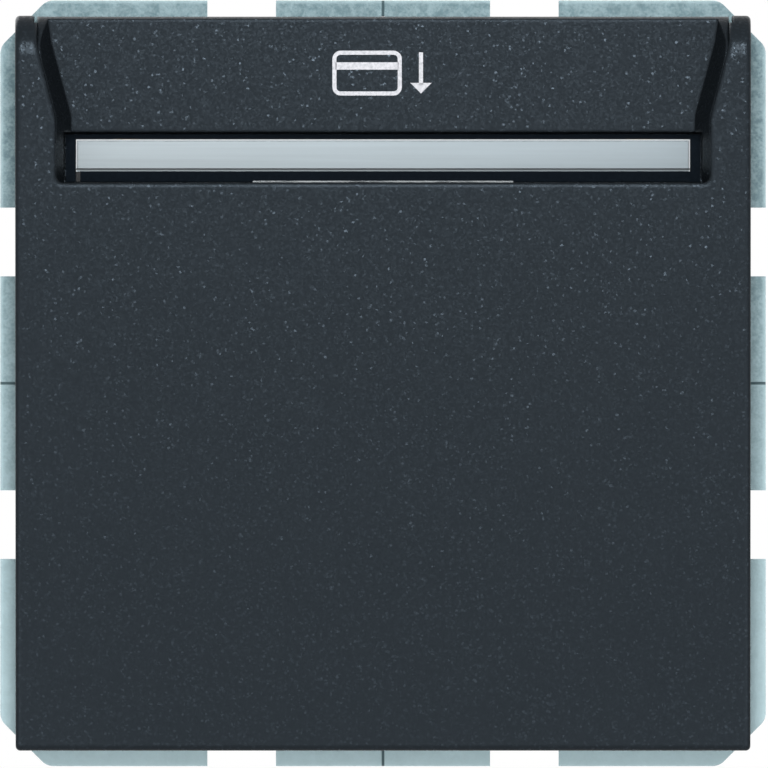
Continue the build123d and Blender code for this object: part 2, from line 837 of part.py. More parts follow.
with BuildPart() as smoothing_capacitor:
    can_axis = board_back - can_radius
    with BuildSketch(Plane.YZ.offset(can_end)):
        with Locations((-can_axis, can_place_z)):
            Circle(can_radius)
    extrude(amount=-can_length)
    with BuildSketch(Plane.YZ.offset(can_end - can_groove_place)):
        with Locations((-can_axis, can_place_z)):
            Circle(can_radius)
            Circle(can_radius - can_groove, mode=Mode.SUBTRACT)
    extrude(amount=-2 * can_groove, mode=Mode.SUBTRACT)
smoothing_capacitor.part.label = "smoothing_capacitor"
export_step(smoothing_capacitor.part, "parts/smoothing_capacitor.step")

with BuildPart(wall) as bridge_rectifier:
    block(bridge_places[0], bridge_places[1], (board_back - bridge_thick, board_back))
    chamfer(bridge_rectifier.faces().sort_by(Axis.Y)[-1].edges(), edge_round)
bridge_rectifier.part.label = "bridge_rectifier"
export_step(bridge_rectifier.part, "parts/bridge_rectifier.step")

chip_plane = Plane(origin=(chip_middle[0], -board_back, chip_middle[1]), z_dir=(0, 1, 0))
with BuildPart(chip_plane) as controller_chip:
    with Locations((0, 0, chip_lift + chip_thick / 2)):
        Box(chip_length, chip_width, chip_thick)
    with GridLocations(chip_leg_pitch, 0, chip_leg_count, 1):
        with Locations((0, 0, (chip_lift + chip_thick / 2) / 2)):
            Box(chip_leg_width, chip_width + 2 * chip_leg_reach, chip_lift + chip_thick / 2)
    with GridLocations(0, chip_width + 2 * chip_leg_reach, 1, 2):
        with Locations((0, 0, chip_lift + chip_thick / 2)):
            Box(chip_length, 2 * chip_leg_reach - chip_leg_width, chip_thick, mode=Mode.SUBTRACT)
controller_chip.part.label = "controller_chip"
export_step(controller_chip.part, "parts/controller_chip.step")

with BuildPart() as resistors:
    for i in range(resistor_count):
        with BuildSketch(Plane.YZ.offset(resistor_place_x - resistor_length / 2)):
            with Locations((resistor_radius - board_back, resistor_first + i * resistor_pitch)):
                Circle(resistor_radius)
    extrude(amount=resistor_length)
resistors.part.label = "resistors"
export_step(resistors.part, "parts/resistors.step")

# Terminal bars: brass strips over the wires, each with a tongue down to the board
terminal_sides = ((-1, 1), (1, 1), (-1, -1), (1, -1))
bar_outer = terminal_bar_inner + terminal_bar_thick
bar_half = terminal_bar_width / 2
bar_tongue_front = board_front + terminal_bar_thick

with BuildPart(wall) as terminal_bars:
    for along, up in terminal_sides:
        xs = (along * terminal_place_x - bar_half, along * terminal_place_x + bar_half)
        bar_back_end = housing_inside + rest_gap
        block(xs, (up * terminal_bar_inner, up * bar_outer), (bar_back_end, bar_tongue_front))
        block(xs, (up * terminal_bar_foot, up * bar_outer), (board_front, bar_tongue_front))
terminal_bars.part.label = "terminal_bars"
export_step(terminal_bars.part, "parts/terminal_bars.step")

# Terminal screws turn in place, and lift the cages that clamp the wires to the bars
cage_half = cage_width / 2
head_outer = housing_half - terminal_head_sunk
head_inner = head_outer - terminal_head_thick

for number, (along, up) in enumerate(terminal_sides, start=1):
    x = along * terminal_place_x
    terminal_plane = Plane(origin=(x, -terminal_height, 0), z_dir=(0, 0, up))
    with BuildPart(terminal_plane) as terminal_screw:
        with Locations((0, 0, (head_inner + head_outer) / 2)):
            Cylinder(terminal_head_radius, terminal_head_thick)
        with Locations((0, 0, (bar_outer + fit_gap + head_inner) / 2)):
            Cylinder(terminal_screw_radius, head_inner - bar_outer - fit_gap)
        with Locations((0, 0, head_outer - screw_slot_depth / 2)):
            Box(
                2 * terminal_head_radius,
                screw_slot_width,
                screw_slot_depth,
                mode=Mode.SUBTRACT,
            )
    terminal_screw.part.label = f"terminal_screw_{number}"
    export_step(terminal_screw.part, f"parts/terminal_screw_{number}.step")

    with BuildPart(wall) as terminal_cage:
        block(
            (x - cage_half, x + cage_half),
            (up * cage_inner, up * cage_outer),
            (cage_back, cage_front),
        )
        block(
            (x - cage_half + cage_wall, x + cage_half - cage_wall),
            (up * (cage_inner + cage_wall), up * (cage_outer - cage_wall)),
            (cage_back - overrun, cage_front + overrun),
            mode=Mode.SUBTRACT,
        )
        with BuildSketch(Plane.XY.offset(up * (cage_outer - cage_wall / 2))):
            with Locations((x, -terminal_height)):
                Circle(terminal_screw_radius + fit_gap)
        extrude(amount=cage_wall, both=True, mode=Mode.SUBTRACT)
    terminal_cage.part.label = f"terminal_cage_{number}"
    export_step(terminal_cage.part, f"parts/terminal_cage_{number}.step")

# Claws: each is an angle of sheet steel with a toothed toe, slotted for its screw
claw_front = -2.6
claw_back = -14.0
claw_thick = 1.0
claw_half_width = 5.0
claw_toe_length = 6.5
claw_toe_reach = insert_width / 2 + claw_toe_length
claw_slot_half = 1.7
claw_slot_front = -4.5
claw_slot_length = 5.0
claw_slot_reach = insert_width / 2 + claw_slot_length
claw_tooth_depth = 0.9
claw_tooth_count = 4
claw_near = insert_width / 2 + rest_gap
claw_head_floor = flange_front + fit_gap

for name, sign in (("left", -1), ("right", 1)):
    with BuildPart(wall) as claw:
        block(
            (sign * claw_near, sign * (claw_near + claw_thick)),
            (-claw_half_width, claw_half_width),
            (claw_back, claw_front),
        )
        block(
            (sign * claw_near, sign * claw_toe_reach),
            (-claw_half_width, claw_half_width),
            (claw_back, claw_back + claw_thick),
        )
        block(
            (sign * (claw_near - overrun), sign * claw_slot_reach),
            (-claw_slot_half, claw_slot_half),
            (claw_back - overrun, claw_slot_front),
            mode=Mode.SUBTRACT,
        )
        tooth_pitch = 2 * claw_half_width / claw_tooth_count
        for i in range(claw_tooth_count):
            middle = (i + 1 / 2) * tooth_pitch - claw_half_width
            with BuildSketch(wall.offset(claw_back - overrun)):
                with BuildLine():
                    Polyline(
                        (sign * claw_toe_reach, middle - tooth_pitch / 2),
                        (sign * (claw_toe_reach - claw_tooth_depth), middle),
                        (sign * claw_toe_reach, middle + tooth_pitch / 2),
                        close=True,
                    )
                make_face()
            extrude(amount=claw_thick + 2 * overrun, mode=Mode.SUBTRACT)
    claw.part.label = f"claw_{name}"
    export_step(claw.part, f"parts/claw_{name}.step")

    claw_screw_plane = Plane(origin=(sign * claw_screw_place, 0, 0), z_dir=(0, -1, 0))
    with BuildPart(claw_screw_plane) as claw_screw:
        rod(claw_screw_radius, (-claw_screw_length, claw_head_floor))
        rod(claw_screw_head_radius, (claw_head_floor, claw_head_floor + claw_screw_head_height))
        block(
            (-claw_screw_head_radius, claw_screw_head_radius),
            (-screw_slot_width / 2, screw_slot_width / 2),
            (
                claw_head_floor + claw_screw_head_height - screw_slot_depth,
                claw_head_floor + claw_screw_head_height,
            ),
            mode=Mode.SUBTRACT,
        )
    claw_screw.part.label = f"claw_screw_{name}"
    export_step(claw_screw.part, f"parts/claw_screw_{name}.step")

# Centre plate: the cover is a sloping shell, open at the back, with a gate in its top
cover_back = ring_thick + rest_gap
cover_wall = 1.5
cover_side_wall = 1.55
cover_top_round = 3.2
cover_bottom_round = 0.7
cover_corner_round = 0.4
cover_half = cover_width / 2
cover_inside = cover_half - cover_side_wall
holder_half = cover_inside - rest_gap
slot_play = 1.0
slot_half = card_width / 2 + slot_play
lip_top = 17.2
lip_corner = 0.6
lip_round = 0.3
cheek_bend_low = 22.7
cheek_bend_drop = 2.4
cheek_bend_high = cover_half - cheek_bend_drop
cheek_bend_round = 3.0
cheek_step_drop = 0.6
cheek_step = cover_half - cheek_step_drop
head_room_side = 1.8
head_room_half = claw_screw_head_radius + head_room_side
head_room_gap = 0.75
head_room_top = claw_head_floor + claw_screw_head_height + head_room_gap
boss_inset = 1.15
boss_place_x = holder_half - boss_inset
boss_places_z = (12.0, -24.0)
boss_radius = 0.9
boss_height = 3.0
boss_floor = 1.2
cover_screw_radius = 0.6
cover_screw_head_radius = 0.9
cover_screw_head_height = 0.8
cover_screw_length = 3.6
slope_share = (cover_high - cover_low) / cover_width
boss_places = [(sign * boss_place_x, z) for sign in (-1, 1) for z in boss_places_z]


def front_height(z):
    """Height of the cover's sloping front at this Z."""
    return cover_low + slope_share * (z + cover_half)


def inner_height(z):
    """Height of the front wall's inner face at this Z."""
    return front_height(z) - cover_wall


def both_sides(points):
    """An outline's right half, with its mirror image on the left."""
    return points + [(-x, z) for x, z in reversed(points)]


with BuildPart(wall) as front_cover:
    profile(
        [
            (cover_back, -cover_half),
            (cover_low, -cover_half),
            (cover_high, cover_half),
            (cover_back, cover_half),
        ],
        cover_half,
        rounds=[0, cover_bottom_round, cover_top_round, 0],
    )
    side_faces = front_cover.faces().sort_by(Axis.X)
    side_edges = side_faces[0].edges() + side_faces[-1].edges()
    fillet([e for e in side_edges if e.center().Y < -cover_back - fit_gap], cover_corner_round)
    profile(
        [
            (cover_back - overrun, -cover_inside),
            (inner_height(-cover_inside), -cover_inside),
            (inner_height(cover_inside), cover_inside),
            (cover_back - overrun, cover_inside),
        ],
        cover_inside,
        rounds=[0, 0, cover_top_round - cover_wall, 0],
        mode=Mode.SUBTRACT,
    )
    with BuildSketch(wall.offset(cover_back - overrun)) as gate:
        with BuildLine():
            gate_rounds = [lip_corner, cheek_bend_round, cheek_bend_round, 0, 0, 0]
            FilletPolyline(
                *both_sides(
                    [
                        (slot_half, lip_top),
                        (slot_half, cheek_bend_low),
                        (holder_half, cheek_bend_high),
                        (holder_half, cheek_step),
                        (cover_inside, cheek_step),
                        (cover_inside, cover_half + overrun),
                    ]
                ),
                radius=gate_rounds + gate_rounds[::-1],
                close=True,
            )
        make_face()
    extrude(amount=cover_high + 2 * overrun, mode=Mode.SUBTRACT)
    lip_edges = []
    for edge in front_cover.edges():
        middle = edge.center()
        in_front = abs(-middle.Y - front_height(middle.Z)) < fit_gap
        if in_front and abs(middle.X) < slot_half + fit_gap and middle.Z > lip_top - fit_gap:
            lip_edges.append(edge)
    fillet(lip_edges, lip_round)
    block(
        (-cover_half - overrun, cover_half + overrun),
        (-head_room_half, head_room_half),
        (cover_back - overrun, head_room_top),
        mode=Mode.SUBTRACT,
    )
    block(
        (-head_room_half, head_room_half),
        (-cover_half - overrun, -cover_inside + overrun),
        (cover_back - overrun, head_room_top),
        mode=Mode.SUBTRACT,
    )
    for x, z in boss_places:
        with Locations((x, z)):
            rod(boss_radius, (inner_height(z) - boss_height, inner_height(z) + cover_wall / 2))
            rod(
                cover_screw_radius + fit_gap,
                (inner_height(z) - boss_height - overrun, inner_height(z)),
                mode=Mode.SUBTRACT,
            )
front_cover.part.label = "front_cover"
export_step(front_cover.part, "parts/front_cover.step")

# Card pocket between the holder and the cover
pocket_gap = 2.2
card_play = 0.4
pocket_half = card_width / 2 + card_play

# Light guide in the slot, and its dark frame
bar_inset = 1.07
bar_drop = 1.5
bar_rise = 1.22
bar_half_width = pocket_half - bar_inset
bar_bottom = lamp_place_z - bar_drop
bar_top = lamp_place_z + bar_rise
bar_front = 6.1
bar_back = 3.4
bar_step = 0.14
bar_groove_width = 0.1
bar_groove_low = bar_bottom + bar_step
bar_groove_high = bar_groove_low + bar_groove_width
bar_groove_depth = 0.4
bar_edge = 0.17
bar_foot_half = 1.2
bar_foot_end = lamp_top + lamp_lens_thick + rest_gap
bar_strip_width = 0.35
bar_strip_sunk = 0.1
frame_thick = 0.95

# Card holder: label panel and rails above, card pocket below, open at the back
panel_depth = 4.6
panel_wall = 1.4
panel_low_inset = 1.28
panel_high_inset = 1.2
panel_top_inset = 0.7
rail_lead = loose_gap * panel_low_inset / (panel_depth - cover_wall - loose_gap)
rail_rounds = [0, cheek_bend_round, cheek_bend_round, 0]
panel_low_half = slot_half - panel_low_inset
panel_high_half = holder_half - panel_high_inset
panel_top_half = holder_half - panel_top_inset
pocket_floor = -28.0
pocket_top = 8.0
holder_wall = 1.2
holder_drop = 0.05
holder_top = cover_half - holder_drop
holder_round = 4.0
seat_low_gap = 0.2
seat_high_gap = 0.63
seat_bottom = lip_top - seat_low_gap
seat_top = bar_top + seat_high_gap
seat_height = 4.9
recess_bottom = lip_top - overrun
front_plane = Plane(
    origin=(0, -front_height(0), 0), x_dir=(1, 0, 0), z_dir=(0, -1, -slope_share)
)

def pocket_back(z):
    """Height of the card pocket's back face at this Z."""
    return inner_height(z) - pocket_gap


def panel_height(z):
    """Height of the label panel's face at this Z."""
    return front_height(z) - panel_depth


with BuildPart(wall) as card_holder:
    profile(
        [
            (cover_back, -holder_half),
            (inner_height(-holder_half) - loose_gap, -holder_half),
            (inner_height(holder_top) - loose_gap, holder_top),
            (cover_back, holder_top),
        ],
        holder_half,
        rounds=[0, 0, holder_round, 0],
    )
    with BuildSketch(front_plane.offset(-cover_wall)):
        with BuildLine():
            FilletPolyline(
                *both_sides(
                    [
                        (slot_half + rail_lead, recess_bottom),
                        (slot_half + rail_lead, cheek_bend_low),
                        (holder_half + rail_lead, cheek_bend_high),
                        (holder_half + rail_lead, holder_top + overrun),
                    ]
                ),
                radius=rail_rounds + rail_rounds[::-1],
                close=True,
            )
        make_face()
    with BuildSketch(front_plane.offset(-panel_depth)):
        with BuildLine():
            FilletPolyline(
                *both_sides(
                    [
                        (panel_low_half, recess_bottom),
                        (panel_low_half, cheek_bend_low),
                        (panel_high_half, cheek_bend_high),
                        (panel_top_half, holder_top + overrun),
                    ]
                ),
                radius=rail_rounds + rail_rounds[::-1],
                close=True,
            )
        make_face()
    loft(ruled=True, mode=Mode.SUBTRACT)
    profile(
        [
            (front_height(pocket_floor), pocket_floor),
            (pocket_back(pocket_floor), pocket_floor),
            (pocket_back(pocket_top), pocket_top),
            (seat_height, seat_bottom),
            (seat_height, seat_top),
            (front_height(seat_top), seat_top),
        ],
        pocket_half,
        mode=Mode.SUBTRACT,
    )
    hollow_top = holder_top - panel_wall
    hollow_bottom = holder_wall - holder_half
    hollow_step = seat_top + panel_wall
    profile(
        [
            (cover_back - overrun, hollow_bottom),
            (pocket_back(hollow_bottom) - holder_wall, hollow_bottom),
            (pocket_back(pocket_top) - holder_wall, pocket_top),
            (seat_height - holder_wall, seat_bottom),
            (seat_height - holder_wall, hollow_step),
            (panel_height(hollow_step) - panel_wall, hollow_step),
            (panel_height(hollow_top) - panel_wall, hollow_top),
            (cover_back - overrun, hollow_top),
        ],
        pocket_half,
        mode=Mode.SUBTRACT,
    )
    ear_root = pocket_back(lever_pivot[1]) - holder_wall / 2
    for sign in (-1, 1):
        with BuildSketch(side.offset(sign * ear_near)):
            with Locations(lever_pivot):
                Circle(ear_radius)
            with Locations(((lever_pivot[0] + ear_root) / 2, lever_pivot[1])):
                Rectangle(ear_root - lever_pivot[0], 2 * ear_radius)
        extrude(amount=sign * ear_thick)
    axle(lever_pin_radius + fit_gap, lever_pivot, lever_pin_half + overrun, mode=Mode.SUBTRACT)
    for sign in (-1, 1):
        for up in (-1, 1):
            z = up * peg_place_z
            x = sign * peg_place_x
            block(
                (x - peg_width / 2, x + peg_width / 2),
                (z - peg_height / 2, z + peg_height / 2),
                (peg_foot, pocket_back(z) - holder_wall / 2),
            )
    window_half = lever_arm_half + window_side_gap
    window_top = nose_root_top + window_high_gap
    block(
        (-window_half, window_half),
        (lever_arm_end - window_low_gap, window_top),
        (lever_arm_front + overrun, pocket_back(window_top) + overrun),
        mode=Mode.SUBTRACT,
    )
    block(
        (-bar_half_width - fit_gap, bar_half_width + fit_gap),
        (bar_bottom - fit_gap, bar_top + fit_gap),
        (seat_height - holder_wall - overrun, seat_height + overrun),
        mode=Mode.SUBTRACT,
    )
    block(
        (-holder_half - overrun, holder_half + overrun),
        (-head_room_half, head_room_half),
        (cover_back - overrun, head_room_top),
        mode=Mode.SUBTRACT,
    )
    for edge in (-holder_half, hollow_top):
        block(
            (-head_room_half, head_room_half),
            (edge - overrun, edge + panel_wall + overrun),
            (cover_back - overrun, head_room_top),
            mode=Mode.SUBTRACT,
        )
    for x, z in boss_places:
        boss_tip = inner_height(z) - boss_height
        with Locations((x, z)):
            rod(boss_radius + fit_gap, (boss_tip - fit_gap, inner_height(z)), mode=Mode.SUBTRACT)
            rod(cover_screw_radius + fit_gap, (cover_back, boss_tip), mode=Mode.SUBTRACT)
            rod(
                cover_screw_head_radius + fit_gap,
                (cover_back - overrun, boss_tip - boss_floor),
                mode=Mode.SUBTRACT,
            )
card_holder.part.label = "card_holder"
export_step(card_holder.part, "parts/card_holder.step")

with BuildPart(wall) as cover_screws:
    for x, z in boss_places:
        screw_seat = inner_height(z) - boss_height - boss_floor
        with Locations((x, z)):
            rod(cover_screw_head_radius, (screw_seat - cover_screw_head_height, screw_seat))
            rod(cover_screw_radius, (screw_seat, screw_seat + cover_screw_length))
cover_screws.part.label = "cover_screws"
export_step(cover_screws.part, "parts/cover_screws.step")

with BuildPart(wall) as light_bar:
    profile(
        [
            (bar_back, bar_bottom),
            (bar_front - bar_edge, bar_bottom),
            (bar_front - bar_edge, bar_groove_low),
            (bar_front - bar_groove_depth, bar_groove_low),
            (bar_front - bar_groove_depth, bar_groove_high),
            (bar_front, bar_groove_high),
            (bar_front, bar_top - bar_edge),
            (bar_front - bar_edge, bar_top),
            (bar_back, bar_top),
        ],
        bar_half_width,
    )
    side_faces = light_bar.faces().sort_by(Axis.X)
    end_edges = side_faces[0].edges() + side_faces[-1].edges()
    chamfer([e for e in end_edges if e.center().Y < -bar_front + fit_gap], bar_edge)
    for sign in (-1, 1):
        block(
            (sign * lamp_place_x - bar_foot_half, sign * lamp_place_x + bar_foot_half),
            (lamp_place_z - bar_foot_half, lamp_place_z + bar_foot_half),
            (bar_foot_end, bar_back),
        )
    block(
        (-bar_half_width, bar_strip_width - bar_half_width),
        (seat_bottom + rest_gap, bar_bottom),
        (seat_height + bar_strip_sunk, bar_front - bar_strip_sunk),
    )
light_bar.part.label = "light_bar"
export_step(light_bar.part, "parts/light_bar.step")

with BuildPart(wall) as light_bar_frame:
    frame_half = pocket_half - loose_gap
    block(
        (-frame_half, frame_half),
        (seat_bottom + rest_gap, seat_top - loose_gap),
        (seat_height, seat_height + frame_thick),
    )
    block(
        (-bar_half_width - fit_gap, bar_half_width + fit_gap),
        (bar_bottom - fit_gap, bar_top + fit_gap),
        (seat_height - overrun, seat_height + frame_thick + overrun),
        mode=Mode.SUBTRACT,
    )
    block(
        (-bar_half_width - fit_gap, bar_strip_width + fit_gap - bar_half_width),
        (seat_bottom, bar_bottom),
        (seat_height - overrun, seat_height + frame_thick + overrun),
        mode=Mode.SUBTRACT,
    )
light_bar_frame.part.label = "light_bar_frame"
export_step(light_bar_frame.part, "parts/light_bar_frame.step")

# Leaf spring behind the lip, which presses the card to the pocket's back
leaf_half = 11.15
leaf_thick = 0.3
leaf_rise = 0.15
leaf_top_gap = 0.15
leaf_belly = (1.5, 1.45)
leaf_tip = (-0.5, 1.15)
leaf_places = ((lip_top + leaf_rise, leaf_top_gap), leaf_belly, leaf_tip)

with BuildPart(wall) as card_spring:
    profile(
        [(inner_height(z) - gap, z) for z, gap in leaf_places]
        + [(inner_height(z) - gap - leaf_thick, z) for z, gap in reversed(leaf_places)],
        leaf_half,
    )
card_spring.part.label = "card_spring"
export_step(card_spring.part, "parts/card_spring.step")

with BuildPart() as lever_pin:
    axle(lever_pin_radius, lever_pivot, lever_pin_half)
lever_pin.part.label = "lever_pin"
export_step(lever_pin.part, "parts/lever_pin.step")

nose_height = inner_height(nose_tip_top) - nose_gap
with BuildPart(wall) as card_lever:
    axle(lever_boss_radius, lever_pivot, lever_boss_half)
    block(
        (-lever_arm_half, lever_arm_half),
        (lever_arm_end, lever_pivot[1]),
        (lever_arm_back, lever_arm_front),
    )
    profile(
        [
            (lever_arm_back, nose_root_top),
            (nose_root_height, nose_root_top),
            (nose_height, nose_tip_top),
            (nose_height, nose_tip_bottom),
            (nose_low_height, lever_arm_end),
            (lever_arm_back, lever_arm_end),
        ],
        lever_arm_half,
    )
    axle(lever_pad_radius, (lever_arm_back, 0), lever_pad_half)
    axle(lever_spring_room, lever_pivot, lever_spring_half, mode=Mode.SUBTRACT)
    axle(lever_pin_radius + fit_gap, lever_pivot, lever_boss_half + overrun, mode=Mode.SUBTRACT)
card_lever.part.label = "card_lever"
export_step(card_lever.part, "parts/card_lever.step")

# Torsion spring on the pin, one leg along the lever's arm and one to the holder's wall
lever_wire = 0.125
lever_coil_radius = 1.15
lever_coil_half = 1.2
lever_coil_turns = 3
lever_coil_start_share = 0.42
lever_coil_end_share = 0.52
lever_leg_low = 4.0
lever_leg_long = 5.6


def lever_coil(turn):
    """Where the lever's spring is after so many turns, going down past the back."""
    angle = 2 * pi * turn
    x = lever_coil_half - 2 * lever_coil_half * turn / lever_coil_turns
    height = lever_pivot[0] + lever_coil_radius * cos(angle)
    return Vector(x, -height, lever_pivot[1] + lever_coil_radius * sin(angle))


with BuildPart() as lever_spring:
    last_turn = lever_coil_turns + lever_coil_end_share
    places, ways = coil_points(lever_coil_start_share, last_turn, lever_coil)
    with BuildLine() as lever_path:
        wall_end = places[0] - ways[0] * lever_leg_long
        Line(wall_end, places[0])
        smooth_wire(places, ways)
        Line(places[-1], places[-1] + ways[-1] * lever_leg_low)
    with BuildSketch(Plane(origin=wall_end, z_dir=ways[0])):
        Circle(lever_wire)
    sweep(path=lever_path.line)
lever_spring.part.label = "lever_spring"
export_step(lever_spring.part, "parts/lever_spring.step")
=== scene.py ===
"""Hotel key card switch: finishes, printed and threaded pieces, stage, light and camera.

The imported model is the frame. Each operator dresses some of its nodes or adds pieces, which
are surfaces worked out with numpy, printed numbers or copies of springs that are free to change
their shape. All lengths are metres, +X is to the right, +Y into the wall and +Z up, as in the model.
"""

import math

import bmesh
import bpy
import numpy as np
from bpy.props import FloatProperty, FloatVectorProperty, IntProperty, PointerProperty
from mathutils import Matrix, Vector


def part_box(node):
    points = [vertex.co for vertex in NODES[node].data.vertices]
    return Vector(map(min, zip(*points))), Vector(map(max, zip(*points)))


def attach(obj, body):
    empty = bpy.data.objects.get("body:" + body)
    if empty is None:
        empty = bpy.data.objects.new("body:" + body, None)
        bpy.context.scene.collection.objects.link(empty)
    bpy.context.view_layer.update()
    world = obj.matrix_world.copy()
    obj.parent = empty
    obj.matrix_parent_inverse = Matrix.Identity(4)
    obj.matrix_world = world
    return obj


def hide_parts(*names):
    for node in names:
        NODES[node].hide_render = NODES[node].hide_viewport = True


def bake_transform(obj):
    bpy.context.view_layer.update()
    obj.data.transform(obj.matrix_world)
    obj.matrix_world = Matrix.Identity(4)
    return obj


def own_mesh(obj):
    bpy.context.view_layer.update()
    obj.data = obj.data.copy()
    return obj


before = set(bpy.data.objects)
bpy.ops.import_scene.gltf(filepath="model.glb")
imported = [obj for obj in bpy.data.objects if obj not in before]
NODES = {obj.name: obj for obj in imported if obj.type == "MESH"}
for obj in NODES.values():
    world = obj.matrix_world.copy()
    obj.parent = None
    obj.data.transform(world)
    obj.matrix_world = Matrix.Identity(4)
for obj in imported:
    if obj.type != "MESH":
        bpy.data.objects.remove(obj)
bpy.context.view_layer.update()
MM = 0.001

# Light bar: height of its front above the leg, the width of the painted highlight and glow on
# its bevel, and the groove in the front, as its middle's height and where its painted shade ends
BAR_HEIGHT = 2.72 * MM
BAR_BEVEL = 0.12 * MM
BAR_GROOVE_PLACE = 0.15 * MM
BAR_GROOVE_SHADE = (0.05 * MM, 0.14 * MM)
# Height over which the leg's painted shade fades in
BAR_LEG_BLEND = 0.05 * MM

# Any screw: chamfer as a share of the head's radius, the tip's length and end radius as
# shares of the shank's radius, points across a head's row and rings to a turn of thread.
# The thread starts so many turns under the head, and runs out over so many at the tip.
HEAD_CHAMFER = 0.06
TIP_LENGTH, TIP_RADIUS = 0.3, 0.55
HEAD_POINTS, TURN_RINGS = 9, 8
THREAD_START, THREAD_RUN_OUT = 0.5, 1.2

# Claw screws: head, shank and slot. The shank stops short of the model's own by the tip.
CLAW_HEAD_HEIGHT = 1.1 * MM
CLAW_HEAD_DOME = 0.3 * MM
CLAW_SHANK_RADIUS = 1.4 * MM
CLAW_TIP = TIP_LENGTH * CLAW_SHANK_RADIUS
CLAW_SLOT_HALF = 0.3 * MM
CLAW_SLOT_FLOOR = 0.5 * MM

# Card sign: the card's corner, the stripe's half width and the arrow head's reach, in
# strokes, the stripe's height above the middle as a share of half the card's height, and
# the ends of the arrow's stem as shares of a quarter of it
CARD_CORNER, STRIPE_HALF, ARROW_REACH = 1.5, 0.9, 2.6
STRIPE_PLACE = 0.35
STEM_ENDS = (-0.2, 3.0)

# Terminal numbers: how far they are from the cage's middle, half the ink's thickness, most
# of which lies in the plastic, and how far the ink stands out of it
NUMBER_PLACE = 4.2 * MM
NUMBER_HALF_THICK = 0.12 * MM
NUMBER_PROUD = 0.02 * MM

# Ring's plating: the height under which painted light makes it lighter downwards, and the
# marks cut across its middle lines, by the distances where their painted shade is darkest and ends
PAINTED_LIGHT_TOP = 20 * MM
MARK_SHADE = (0.09 * MM, 0.14 * MM)

# A pattern drawn out fifty times along X, as rolling, drawing or flow does
DRAWN_OUT = (0.02, 1.0, 1.0)

# Points this near each other are one
SAME_POINT = 1e-7

# Stage: what the camera takes in at the wall, its lens, the light, the floor and the lamps.
# Each lamp has a name, a place, a width and a power, and faces the wall's middle.
VIEW_WIDTH = 66.04 * MM
VIEW_MIDDLE = (0.085 * MM, -0.06 * MM)
LENS, SENSOR = 1500.0, 36.0
WORLD_LIGHT = 0.4
FLOOR_REACH, FLOOR_HEIGHT = 6.0, -0.5
FLOOR_LIFT = 0.7
LAMPS = (
    ("key_lamp", (0.0, -0.394, 0.07), 0.07, 0.3),
    ("high_lamp", (0.0, -0.411, 0.183), 0.06, 0.5),
    ("left_lamp", (-0.2, -0.36, -0.2), 0.36, 0.52),
    ("right_lamp", (0.2, -0.36, -0.2), 0.36, 0.52),
    ("back_lamp", (-0.5, 0.9, 0.6), 0.7, 2.5),
)

bl_info = {
    "name": "Hotel key card switch",
    "version": (1, 0, 0),
    "blender": (4, 5, 0),
    "location": "3D view > Sidebar > Key card switch",
    "description": "Dresses the packed model of a flush wall switch worked by a key card",
    "category": "Object",
}


def linear(hex_colour):
    """An sRGB colour written as six hex digits, turned to linear red, green, blue and alpha.

    The sRGB curve is a straight line near black, and above it a power of 2.4.
    """
    srgb = np.array([int(hex_colour[i : i + 2], 16) for i in (0, 2, 4)]) / 255
    low, high = srgb / 12.92, ((srgb + 0.055) / 1.055) ** 2.4
    return (*np.where(srgb <= 0.04045, low, high).tolist(), 1.0)


def per_mm(size):
    """A pattern's scale, in repeats to the metre, for a repeat of so many millimetres."""
    return 1 / (size * MM)


# Materials


def add_node(tree, kind, inputs=None, **settings):
    """Adds one node, sets its properties, and gives each input a value or a link."""
    made = tree.nodes.new(kind)
    for name, value in settings.items():
        setattr(made, name, value)
    for name, value in (inputs or {}).items():
        if isinstance(value, bpy.types.NodeSocket):
            tree.links.new(value, made.inputs[name])
        else:
            made.inputs[name].default_value = value
    return made


def start_material(name, **shader_values):
    """A material with its shader's plain values set; gives the tree, shader and coordinates."""
    material = bpy.data.materials.new(name)
    material.use_nodes = True
    tree = material.node_tree
    shader = tree.nodes["Principled BSDF"]
    for socket, value in shader_values.items():
        shader.inputs[socket.replace("_", " ")].default_value = value
    place = add_node(tree, "ShaderNodeTexCoord").outputs["Object"]
    return material, tree, shader, place


def seen_directly(tree):
    """A share that is 1 for the camera, a reflection and what shows through, otherwise 0."""
    rays = add_node(tree, "ShaderNodeLightPath").outputs
    mirrored = add_node(
        tree,
        "ShaderNodeMath",
        {0: rays["Is Glossy Ray"], 1: rays["Is Transmission Ray"]},
        operation="MAXIMUM",
    ).outputs[0]
    return add_node(
        tree, "ShaderNodeMath", {0: rays["Is Camera Ray"], 1: mirrored}, operation="MAXIMUM"
    ).outputs[0]


